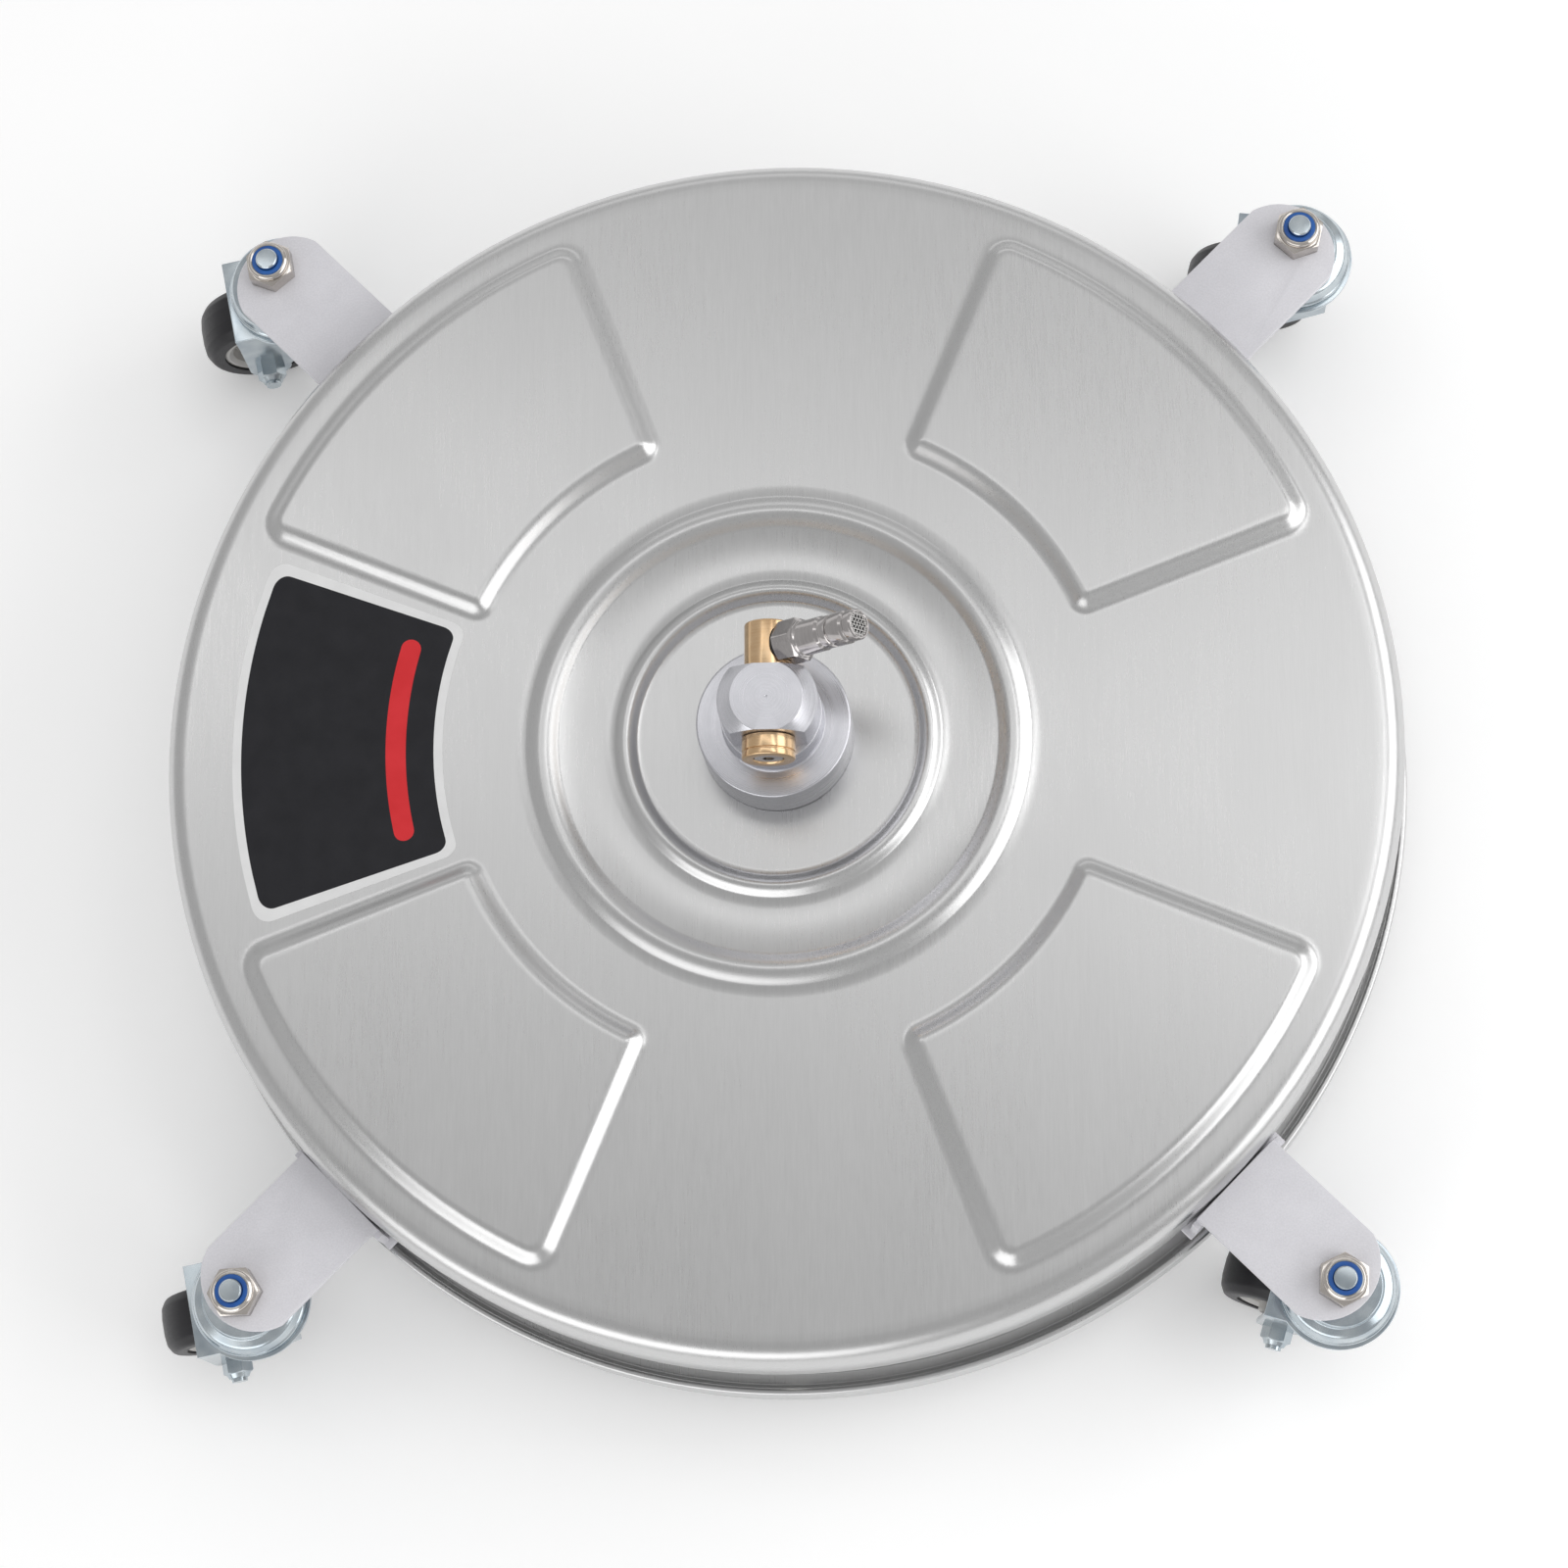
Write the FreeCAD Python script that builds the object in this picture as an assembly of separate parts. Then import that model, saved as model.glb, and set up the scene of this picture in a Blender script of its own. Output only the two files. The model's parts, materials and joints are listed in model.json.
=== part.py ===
import FreeCAD, Part
import math
import os

from FreeCAD import Vector

# Round pressure-washer surface cleaner: a stainless pan housing on four swivel casters, with a
# spinning spray bar under the pan and a swivelling water inlet on top.
# Millimetres.  Origin: on the floor, straight below the axis of the spray bar.  +Z up.
# -Y is the front, +X the right.

# ---------------------------------------------------------------- driving dimensions
# housing pan and lower ring, from the floor up
GROUND_CLEARANCE = 18.0       # floor to the lower ring
RING_SKIRT = 22.0             # height of the lower ring
RING_GAP = 23.0               # lower ring to the housing
SKIRT = 36.0                  # height of the housing
RING_BOTTOM = GROUND_CLEARANCE
RING_TOP = RING_BOTTOM + RING_SKIRT
SKIRT_BOTTOM = RING_TOP + RING_GAP
DECK_HEIGHT = SKIRT_BOTTOM + SKIRT

# housing pan
HOUSING_RADIUS = 230.0
SHEET = 1.5                   # stainless sheet
RIM_ROUND = 9.0
LIP = 17.0                    # width of the inward lip at the foot of the skirt
LIP_INNER_RADIUS = HOUSING_RADIUS - LIP
BEADS = ((52.0, 61.0, 2.8), (81.0, 94.0, 3.0))     # inner radius, outer radius, height
PAD_INNER_RADIUS = 116.0
PAD_BORDER = 20.0             # pads' outer edge to the housing's edge
PAD_OUTER_RADIUS = HOUSING_RADIUS - PAD_BORDER
PAD_HALF_ANGLE = 22.6         # degrees
PAD_CORNER = 14.0
PAD_SLOPE = 6.5
PAD_HEIGHT = 4.0
LEG_AZIMUTHS = {"rear_right": 45.0, "rear_left": 135.0, "front_left": 225.0, "front_right": 315.0}

# lower ring
RING_OVERHANG = 6.0           # how far it stands out past the housing
RING_RADIUS = HOUSING_RADIUS + RING_OVERHANG
RING_ROUND = 5.0
RING_FLANGE = 25.0
RING_INNER_RADIUS = RING_RADIUS - RING_FLANGE
SPACER_RADIUS = 4.2
SPACER_INSET = 9.0
SPACER_CIRCLE = HOUSING_RADIUS - SPACER_INSET      # also carries the foot bolts

# M6 flange hardware
M6_RADIUS = 3.0
M6_FLATS = 10.0
M6_HEAD = 4.0
M6_NUT = 5.0
M6_END = 1.5                  # thread standing out of a nut
BOLT_CLEARANCE = 0.3

# caster, from the floor up
WHEEL_RADIUS = 25.0
TYRE_THICKNESS = 8.5
TYRE_WIDTH = 21.0
TYRE_ROUND = 5.0
HUB_RADIUS = WHEEL_RADIUS - TYRE_THICKNESS
HUB_WIDTH = 26.0
HUB_BOSS_RADIUS = 8.5
HUB_WEB = 4.0                 # half the thickness of the web
HUB_RIM = 9.0                 # half the width of the rim
AXLE_SLEEVE_RADIUS = 4.5
TRAIL = 15.5
WHEEL_GAP = 5.0               # tyre to the fork's top plate
HUB_GAP = 2.25                # hub to each cheek
FORK_PLATE = 2.0
FORK_TOP = 2 * WHEEL_RADIUS + WHEEL_GAP + FORK_PLATE
FORK_WIDTH = HUB_WIDTH + 2 * (HUB_GAP + FORK_PLATE)
FORK_FRONT_RADIUS = 22.6
FORK_REAR = TRAIL + 7.5
CHEEK_REAR = 6.0              # depth of the cheeks at the rear
CHEEK_FRONT = 8.0
AXLE_END_RADIUS = 8.5
AXLE_END = 8.0                # bolt standing out of the fork
RACE_GAP = 1.0
RACE_HEIGHT = 10.0
RACE_RADIUS = 21.4
RACE_TOP_RADIUS = 15.5
RACE_SHOULDER = 5.0
RACE_BALL = 2.4
RACE_BALL_CIRCLE = 15.5
RACE_BALLS = 10
STEM_RADIUS = 5.0             # M10
STEM_HEAD_RADIUS = 8.0
STEM_HEAD = 3.0
STEM_TIP = 1.6                # stem standing out of the nut
STEM_CHAMFER = 0.8
M10_FLATS = 17.0
M10_THIN_NUT = 8.0            # nut under the leg
M10_NUT_HEX = 6.8
M10_NUT_HEIGHT = 10.0
NUT_COLLAR_RADIUS = 7.85
INSERT_RADIUS = 6.05
INSERT_STEP = 0.4
CASTER_AZIMUTHS = {"rear_right": 172.0, "rear_left": 191.5, "front_left": 191.5, "front_right": 163.0}

# legs
LEG_PLATE = 3.0
LEG_UNDER = FORK_TOP + RACE_GAP + RACE_HEIGHT + M10_THIN_NUT
LEG_TOP = LEG_UNDER + LEG_PLATE
LEG_WIDTH = 40.0
LEG_SKIRT_GAP = 0.5
LEG_REACH = 42.6
LEG_END_CENTRE = HOUSING_RADIUS + LEG_REACH        # centre of the rounded end
LEG_END_RADIUS = LEG_WIDTH / 2 + 1.0
CASTER_OFFSET = 10.2
CASTER_CIRCLE = LEG_END_CENTRE + CASTER_OFFSET     # distance of each stem from the axis
WEB_WIDTH = LEG_WIDTH + 5.0
FOOT_WIDTH = LEG_WIDTH + 10.0
FOOT_BOLT_SPREAD = 17.0       # half the distance between a leg's two foot bolts

# bearings: 32 x 15 x 9
BEARING_OUTER = 16.0
BEARING_INNER = 7.5
BEARING_WIDTH = 9.0
BEARING_BALL = 2.4
BEARING_BALLS = 9
BEARING_GAP = 12.4            # between the two bearings
CIRCLIP_GROOVE = 1.3
SEAL_RADIUS = 10.0
SEAL_HEIGHT = 8.0

# swivel
CROSS_SHAFT_RADIUS = 7.0
SPIGOT_WALL = 3.0
SPIGOT_RADIUS = BEARING_OUTER + SPIGOT_WALL
SPIGOT_DROP = 17.0            # how far the spigot hangs below the deck
SPIGOT_BOTTOM = DECK_HEIGHT - SPIGOT_DROP
LOWER_BEARING_BOTTOM = SPIGOT_BOTTOM + 2 * CIRCLIP_GROOVE
UPPER_BEARING_BOTTOM = LOWER_BEARING_BOTTOM + BEARING_WIDTH + BEARING_GAP
GASKET = 1.0
CLAMP_SCREWS = 6
CLAMP_SCREW_CIRCLE = SPIGOT_RADIUS + 4.6
SWIVEL_BASE_RADIUS = CLAMP_SCREW_CIRCLE + 4.65
SWIVEL_BASE_HEIGHT = 22.0
BASE_CHAMFER = 0.8
CLAMP_PLATE_RADIUS = SWIVEL_BASE_RADIUS + 11.75
CLAMP_PLATE = 3.0
M5_RADIUS = 2.5
M5_HEAD_RADIUS = 4.25
M5_HEAD = 5.0
M5_SOCKET = 4.0
M5_SOCKET_DEPTH = 2.6
M5_HOLE_FLOOR = 4.0           # metal above the clamp screws' holes
HEAD_RADIUS = 18.0
COLLAR_RADIUS = HEAD_RADIUS + 0.5
HEAD_CHAMFER = 5.0
HEAD_COVER = 5.0              # metal above the cross bore
FLAT_OFFSET = 12.2            # distance of each flat from the axis
PIVOT_RISE = 45.0             # cross bore above the deck
PIVOT_HEIGHT = DECK_HEIGHT + PIVOT_RISE
HEAD_TOP = PIVOT_HEIGHT + CROSS_SHAFT_RADIUS + HEAD_COVER

# spray rotor
BAR_DROP = 38.0               # bar below the deck
BAR_HEIGHT = DECK_HEIGHT - BAR_DROP
HUB_BODY_RADIUS = 17.0
HUB_BODY_FLAT = 15.0          # distance of each flat from the axis
HUB_BODY_HALF = 10.5
HUB_TOP = BAR_HEIGHT + HUB_BODY_HALF
HUB_BOTTOM = BAR_HEIGHT - HUB_BODY_HALF
STUD_RADIUS = 6.0
STUD = 8.5                    # threaded end below the hub
SHAFT_END = HUB_BOTTOM - STUD
LOCK_NUT_FLATS = 18.0
LOCK_NUT = 8.0
TUBE_RADIUS = 6.0
TUBE_BORE = 4.0
TUBE_NUT_FLATS = 2 * TUBE_RADIUS + 7.0
TUBE_NUT_LENGTH = 13.0
TUBE_INSERT = 5.0             # how far each arm's end reaches into its holder
HOLDER_RADIUS = TUBE_RADIUS + 3.0
HOLDER_SLEEVE = 3.0
HOLDER_DROP = 12.0            # holder's foot below the bar
BAR_GAP = 8.0                 # holder to the housing's lip
BAR_REACH = LIP_INNER_RADIUS - BAR_GAP - HOLDER_RADIUS     # distance of each nozzle from the axis
NOZZLE_DROP = 22.0
NOZZLE_TIP = BAR_HEIGHT - NOZZLE_DROP
NOZZLE_FLATS = 13.0
NOZZLE_STUB_RADIUS = 5.5
NOZZLE_STUB = 7.0
NOZZLE_NOSE = 3.0

# inlet
INLET_HEAD_RADIUS = CROSS_SHAFT_RADIUS + 1.6
CAP_RADIUS = CROSS_SHAFT_RADIUS + 2.6
CAP_LENGTH = 8.0
CAP_RECESS_RADIUS = 5.4
CAP_RECESS = 2.7
CAP_GROOVE = 5.4              # from the cap's inner face
STUB_RADIUS = 5.0             # reduced end of the cross shaft
ORING_PLACE = 7.0             # each O-ring from the axis
ORING_DEPTH = 1.5
ORING_HALF = 0.95
PLUG_ANGLE = 39.0             # degrees above level at rest
PLUG_FLATS = 15.0
PLUG_LINE = FLAT_OFFSET + 8.8                      # how far along +Y the plug's centre line is
INLET_HEAD_END = PLUG_LINE + PLUG_FLATS / 2 + 1.2
PLUG_SEAL = 1.6
PLUG_HEX = 7.0
PLUG_THREAD_RADIUS = 5.5
PLUG_BARREL_RADIUS = 6.3
PLUG_COLLAR_RADIUS = 7.1
PLUG_NECK_RADIUS = 5.9
PLUG_GROOVE_RADIUS = 4.9
PLUG_LENGTH = 38.4
PLUG_REACH = INLET_HEAD_RADIUS + PLUG_LENGTH       # from the cross shaft's axis
PLUG_MOUTH = 4.5
WATER_BORE = 3.0
FILTER = 0.8
FILTER_PITCH = 1.5
FILTER_HOLE = 0.45

# fits
RUNNING = 0.04                # radial clearance of a running shaft
SEAT = 0.02                   # radial clearance of a seated part
FACE_GAP = 0.15               # gap between faces that turn past each other

# label
LABEL_INNER = 126.0
LABEL_BORDER = 26.4           # label's outer edge to the housing's edge
LABEL_OUTER = HOUSING_RADIUS - LABEL_BORDER
LABEL_HALF_ANGLE = 19.5
LABEL_THICKNESS = 0.2

Z = Vector(0, 0, 1)
Y = Vector(0, 1, 0)
os.makedirs("parts", exist_ok=True)


# ---------------------------------------------------------------- helpers
def cylinder(radius, low, high, x=0.0, y=0.0):
    return Part.makeCylinder(radius, high - low, Vector(x, y, low))


def tube(outer, inner, low, high, x=0.0, y=0.0):
    return cylinder(outer, low, high, x, y).cut(cylinder(inner, low - 1, high + 1, x, y))


def hexagon(flats, low, high):
    """Hexagonal prism on the Z axis, with two of its flats facing +Y and -Y."""
    corner = flats / math.sqrt(3)
    points = [Vector(corner * math.cos(math.radians(a)), corner * math.sin(math.radians(a)), low)
              for a in range(0, 420, 60)]
    return Part.Face(Part.makePolygon(points)).extrude(Vector(0, 0, high - low))


def crowned(prism, flats, high, low=None):
    """Round off the corners of a hexagon's top end, and of its lower end too if low is given."""
    corner = flats / math.sqrt(3)
    slope = math.tan(math.radians(30))
    tall = 40.0
    cone = Part.makeCone(flats / 2 - 0.3 + tall / slope, flats / 2 - 0.3, tall, Vector(0, 0, high - tall))
    shape = prism.common(cone)
    if low is not None:
        under = Part.makeCone(flats / 2 - 0.3, flats / 2 - 0.3 + tall / slope, tall, Vector(0, 0, low))
        shape = shape.common(under)
    return shape.common(cylinder(corner, high - tall, high))


def polygon(points):
    """Closed wire through (radius, height) points in the XZ half plane."""
    corners = [Vector(r, 0, z) for r, z in points]
    return Part.makePolygon(corners + corners[:1])


def turned(points):
    """Solid of revolution about Z from a closed outline of (radius, height) points."""
    return Part.Face(polygon(points)).revolve(Vector(0, 0, 0), Z, 360)


def spun(edges):
    """Solid of revolution about Z from a closed list of edges."""
    return Part.Face(Part.Wire(Part.__sortEdges__(edges))).revolve(Vector(0, 0, 0), Z, 360)


def line(a, b):
    return Part.makeLine(Vector(a[0], 0, a[1]), Vector(b[0], 0, b[1]))


def arc(a, b, c):
    points = [Vector(p[0], 0, p[1]) for p in (a, b, c)]
    return Part.Arc(*points).toShape()


def around(shape, degrees):
    copy = shape.copy()
    copy.rotate(Vector(0, 0, 0), Z, degrees)
    return copy


def moved(shape, x, y, z=0.0):
    copy = shape.copy()
    copy.translate(Vector(x, y, z))
    return copy


def polar(radius, degrees):
    return radius * math.cos(math.radians(degrees)), radius * math.sin(math.radians(degrees))


def circle_of(shape, radius, count, start=0.0):
    """Copies of a shape, set round the Z axis at a radius."""
    return [around(moved(shape, radius, 0), start + 360.0 * n / count) for n in range(count)]


def write(name, shapes):
    solids = shapes if isinstance(shapes, list) else [shapes]
    flat = [s for shape in solids for s in shape.Solids]
    for s in flat:
        if not s.isValid():
            print("invalid solid in", name)
    whole = flat[0] if len(flat) == 1 else Part.makeCompound(flat)
    whole.exportStep("parts/" + name + ".step")
    print(name, len(flat), round(sum(s.Volume for s in flat)))


# ---------------------------------------------------------------- housing
def pad_wire(grow, height):
    """Outline of a fan-shaped pad on the X axis, its core outline grown by `grow`."""
    inner = PAD_INNER_RADIUS + PAD_CORNER
    outer = PAD_OUTER_RADIUS - PAD_CORNER
    half = math.radians(PAD_HALF_ANGLE)
    inner_angle = half - math.asin(PAD_CORNER / inner)
    outer_angle = half - math.asin(PAD_CORNER / outer)

    def corner(radius, angle, side, outward):
        centre = Vector(radius * math.cos(angle), side * radius * math.sin(angle), height)
        flank = Vector(-math.sin(half), side * math.cos(half), 0)
        radial = Vector(centre.x, centre.y, 0).normalize() * outward
        middle = (flank + radial).normalize()
        return centre + flank * grow, centre + middle * grow, centre + radial * grow

    out_left = corner(outer, outer_angle, 1, 1)
    out_right = corner(outer, outer_angle, -1, 1)
    in_left = corner(inner, inner_angle, 1, -1)
    in_right = corner(inner, inner_angle, -1, -1)
    edges = [
        Part.Arc(out_right[2], Vector(outer + grow, 0, height), out_left[2]).toShape(),
        Part.Arc(out_left[2], out_left[1], out_left[0]).toShape(),
        Part.makeLine(out_left[0], in_left[0]),
        Part.Arc(in_left[0], in_left[1], in_left[2]).toShape(),
        Part.Arc(in_left[2], Vector(inner - grow, 0, height), in_right[2]).toShape(),
        Part.Arc(in_right[2], in_right[1], in_right[0]).toShape(),
        Part.makeLine(in_right[0], out_right[0]),
        Part.Arc(out_right[0], out_right[1], out_right[2]).toShape(),
    ]
    return Part.Wire(edges)


def pad(shrink, base, top):
    return Part.makeLoft([pad_wire(PAD_CORNER - shrink, base),
                          pad_wire(PAD_CORNER - PAD_SLOPE - shrink, top)], True, True)


def deck_line(height):
    """Edges of the deck's beaded top line at a height, from the swivel hole to the rim."""
    edges = []
    place = SPIGOT_RADIUS + BOLT_CLEARANCE
    for inner, outer, rise in BEADS:
        edges.append(line((place, height), (inner, height)))
        edges.append(arc((inner, height), ((inner + outer) / 2, height + rise), (outer, height)))
        place = outer
    edges.append(line((place, height), (HOUSING_RADIUS - RIM_ROUND, height)))
    return edges


def corner_arc(centre_r, centre_z, radius):
    """Quarter round from straight up to straight out."""
    s = radius * math.sqrt(0.5)
    return arc((centre_r, centre_z + radius), (centre_r + s, centre_z + s), (centre_r + radius, centre_z))


def upper_housing():
    hole = SPIGOT_RADIUS + BOLT_CLEARANCE
    under = DECK_HEIGHT - SHEET
    inside = HOUSING_RADIUS - SHEET
    lip_top = SKIRT_BOTTOM + SHEET
    rim = HOUSING_RADIUS - RIM_ROUND
    edges = deck_line(DECK_HEIGHT)
    edges.append(corner_arc(rim, DECK_HEIGHT - RIM_ROUND, RIM_ROUND))
    edges.append(line((HOUSING_RADIUS, DECK_HEIGHT - RIM_ROUND), (HOUSING_RADIUS, SKIRT_BOTTOM)))
    edges.append(line((HOUSING_RADIUS, SKIRT_BOTTOM), (LIP_INNER_RADIUS, SKIRT_BOTTOM)))
    edges.append(line((LIP_INNER_RADIUS, SKIRT_BOTTOM), (LIP_INNER_RADIUS, lip_top)))
    edges.append(line((LIP_INNER_RADIUS, lip_top), (inside, lip_top)))
    edges.append(line((inside, lip_top), (inside, DECK_HEIGHT - RIM_ROUND)))
    edges.append(corner_arc(rim, DECK_HEIGHT - RIM_ROUND, RIM_ROUND - SHEET))
    edges += deck_line(under)
    edges.append(line((hole, under), (hole, DECK_HEIGHT)))
    shell = spun(edges)
    for azimuth in LEG_AZIMUTHS.values():
        shell = shell.fuse(around(pad(0, DECK_HEIGHT, DECK_HEIGHT + PAD_HEIGHT), azimuth))
    for azimuth in LEG_AZIMUTHS.values():
        shell = shell.cut(around(pad(SHEET, under - 1.0, under + PAD_HEIGHT), azimuth))
    for x, y in clamp_screw_places():
        shell = shell.cut(cylinder(M5_RADIUS + BOLT_CLEARANCE, under - 1, DECK_HEIGHT + 1, x, y))
    for x, y in spacer_places() + foot_bolt_places():
        shell = shell.cut(cylinder(M6_RADIUS + BOLT_CLEARANCE, SKIRT_BOTTOM - 1, lip_top + 1, x, y))
    return shell


def spacer_places():
    return [polar(SPACER_CIRCLE, 90.0 * n) for n in range(4)]


def foot_bolt_places():
    places = []
    for azimuth in LEG_AZIMUTHS.values():
        along = math.sqrt(SPACER_CIRCLE ** 2 - FOOT_BOLT_SPREAD ** 2)
        for side in (-1, 1):
            spread = math.degrees(math.atan2(side * FOOT_BOLT_SPREAD, along))
            places.append(polar(SPACER_CIRCLE, azimuth + spread))
    return places


def clamp_screw_places():
    return [polar(CLAMP_SCREW_CIRCLE, 360.0 * n / CLAMP_SCREWS) for n in range(CLAMP_SCREWS)]


def lower_ring():
    inside = RING_RADIUS - SHEET
    centre = RING_TOP - RING_ROUND
    edges = [
        line((RING_INNER_RADIUS, RING_TOP), (RING_RADIUS - RING_ROUND, RING_TOP)),
        corner_arc(RING_RADIUS - RING_ROUND, centre, RING_ROUND),
        line((RING_RADIUS, centre), (RING_RADIUS, RING_BOTTOM)),
        line((RING_RADIUS, RING_BOTTOM), (inside, RING_BOTTOM)),
        line((inside, RING_BOTTOM), (inside, centre)),
        corner_arc(RING_RADIUS - RING_ROUND, centre, RING_ROUND - SHEET),
        line((RING_RADIUS - RING_ROUND, RING_TOP - SHEET), (RING_INNER_RADIUS, RING_TOP - SHEET)),
        line((RING_INNER_RADIUS, RING_TOP - SHEET), (RING_INNER_RADIUS, RING_TOP)),
    ]
    ring = spun(edges)
    for x, y in spacer_places():
        ring = ring.cut(cylinder(M6_RADIUS + BOLT_CLEARANCE, RING_TOP - SHEET - 1, RING_TOP + 1, x, y))
    return ring


def hex_bolt(under_head, end):
    """M6 bolt pointing up, its head below under_head."""
    head = crowned(hexagon(M6_FLATS, under_head - M6_HEAD, under_head), M6_FLATS, under_head,
                   under_head - M6_HEAD)
    return head.fuse(cylinder(M6_RADIUS, under_head, end))


def hex_nut(low):
    nut = crowned(hexagon(M6_FLATS, low, low + M6_NUT), M6_FLATS, low + M6_NUT)
    return nut.cut(cylinder(M6_RADIUS + SEAT, low - 1, low + M6_NUT + 1))


# ---------------------------------------------------------------- legs
def leg(azimuth):
    """Strip from the caster to the skirt, bent down and then in under the housing's lip."""
    inner = HOUSING_RADIUS + LEG_SKIRT_GAP
    under = LEG_UNDER
    foot_top = SKIRT_BOTTOM
    foot_low = foot_top - LEG_PLATE
    strip = Part.makeBox(LEG_END_CENTRE + LEG_END_RADIUS - inner, LEG_WIDTH, LEG_PLATE,
                         Vector(inner, -LEG_WIDTH / 2, under))
    end = cylinder(LEG_END_RADIUS, under, LEG_TOP, LEG_END_CENTRE, 0)
    square = Part.makeBox(LEG_END_CENTRE - inner, LEG_WIDTH, LEG_PLATE,
                          Vector(inner, -LEG_WIDTH / 2, under))
    strip = strip.common(square.fuse(end))
    web = Part.makeBox(LEG_PLATE, WEB_WIDTH, under - foot_top,
                       Vector(inner, -WEB_WIDTH / 2, foot_top))
    reach = SPACER_CIRCLE - M6_FLATS
    foot = Part.makeBox(inner + LEG_PLATE - reach, FOOT_WIDTH, LEG_PLATE,
                        Vector(reach, -FOOT_WIDTH / 2, foot_low))
    shape = strip.fuse(web).fuse(foot).removeSplitter()
    shape = shape.cut(cylinder(STEM_RADIUS + BOLT_CLEARANCE, under - 1, LEG_TOP + 1, CASTER_CIRCLE, 0))
    along = math.sqrt(SPACER_CIRCLE ** 2 - FOOT_BOLT_SPREAD ** 2)
    for side in (-1, 1):
        shape = shape.cut(cylinder(M6_RADIUS + BOLT_CLEARANCE, foot_low - 1, foot_top + 1,
                                   along, side * FOOT_BOLT_SPREAD))
    return around(shape, azimuth)


# ---------------------------------------------------------------- casters
def caster_place(azimuth):
    return polar(CASTER_CIRCLE, azimuth)


def stem():
    """M10 stem, its flat head under the fork's top plate."""
    head_top = FORK_TOP - FORK_PLATE - FACE_GAP
    tip_low = LEG_TOP + M10_NUT_HEIGHT + STEM_TIP - STEM_CHAMFER
    head = cylinder(STEM_HEAD_RADIUS, head_top - STEM_HEAD, head_top)
    shank = cylinder(STEM_RADIUS, head_top, tip_low)
    tip = Part.makeCone(STEM_RADIUS, STEM_RADIUS - STEM_CHAMFER, STEM_CHAMFER, Vector(0, 0, tip_low))
    return head.fuse(shank).fuse(tip)


def lower_nut():
    """Plain M10 nut that holds the top race down; the leg rests on it."""
    low = LEG_UNDER - M10_THIN_NUT
    nut = crowned(hexagon(M10_FLATS, low, LEG_UNDER), M10_FLATS, LEG_UNDER, low)
    return nut.cut(cylinder(STEM_RADIUS + SEAT, low - 1, LEG_UNDER + 1))


def caster_nut():
    """Self-locking M10 nut: a hexagon, a rolled collar and a groove that holds the insert."""
    collar_low = LEG_TOP + M10_NUT_HEX
    top = LEG_TOP + M10_NUT_HEIGHT
    nut = crowned(hexagon(M10_FLATS, LEG_TOP, collar_low), M10_FLATS, collar_low)
    collar = turned([(0, collar_low - 1), (NUT_COLLAR_RADIUS, collar_low - 1), (NUT_COLLAR_RADIUS, top - 1),
                     (NUT_COLLAR_RADIUS - 1, top), (0, top)])
    nut = nut.fuse(collar)
    nut = nut.cut(cylinder(STEM_RADIUS + SEAT, LEG_TOP - 1, top + 1))
    return nut.cut(cylinder(INSERT_RADIUS, collar_low + INSERT_STEP, top + 1))


def nut_insert():
    low = LEG_TOP + M10_NUT_HEX + INSERT_STEP
    return tube(INSERT_RADIUS - SEAT, STEM_RADIUS + SEAT, low, LEG_TOP + M10_NUT_HEIGHT - 0.3)


def top_race():
    """Domed pressed cap above the balls, clamped under the lower nut."""
    low = FORK_TOP + RACE_GAP
    high = low + RACE_HEIGHT
    groove = Part.makeTorus(RACE_BALL_CIRCLE, RACE_BALL + RUNNING, Vector(0, 0, ball_height()))
    brim = low + 0.2 * RACE_HEIGHT
    dome = low + 0.7 * RACE_HEIGHT
    inner = RACE_RADIUS - RACE_SHOULDER
    edges = [
        line((STEM_RADIUS + SEAT, low), (RACE_RADIUS, low)),
        line((RACE_RADIUS, low), (RACE_RADIUS, brim)),
        arc((RACE_RADIUS, brim), (RACE_RADIUS - 0.3 * RACE_SHOULDER, low + 0.55 * RACE_HEIGHT), (inner, dome)),
        line((inner, dome), (RACE_TOP_RADIUS, high)),
        line((RACE_TOP_RADIUS, high), (STEM_RADIUS + SEAT, high)),
        line((STEM_RADIUS + SEAT, high), (STEM_RADIUS + SEAT, low)),
    ]
    return spun(edges).cut(groove)


def ball_height():
    return FORK_TOP + RACE_GAP / 2


def race_balls():
    ball = Part.makeSphere(RACE_BALL, Vector(0, 0, ball_height()))
    return circle_of(ball, RACE_BALL_CIRCLE, RACE_BALLS)


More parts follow.
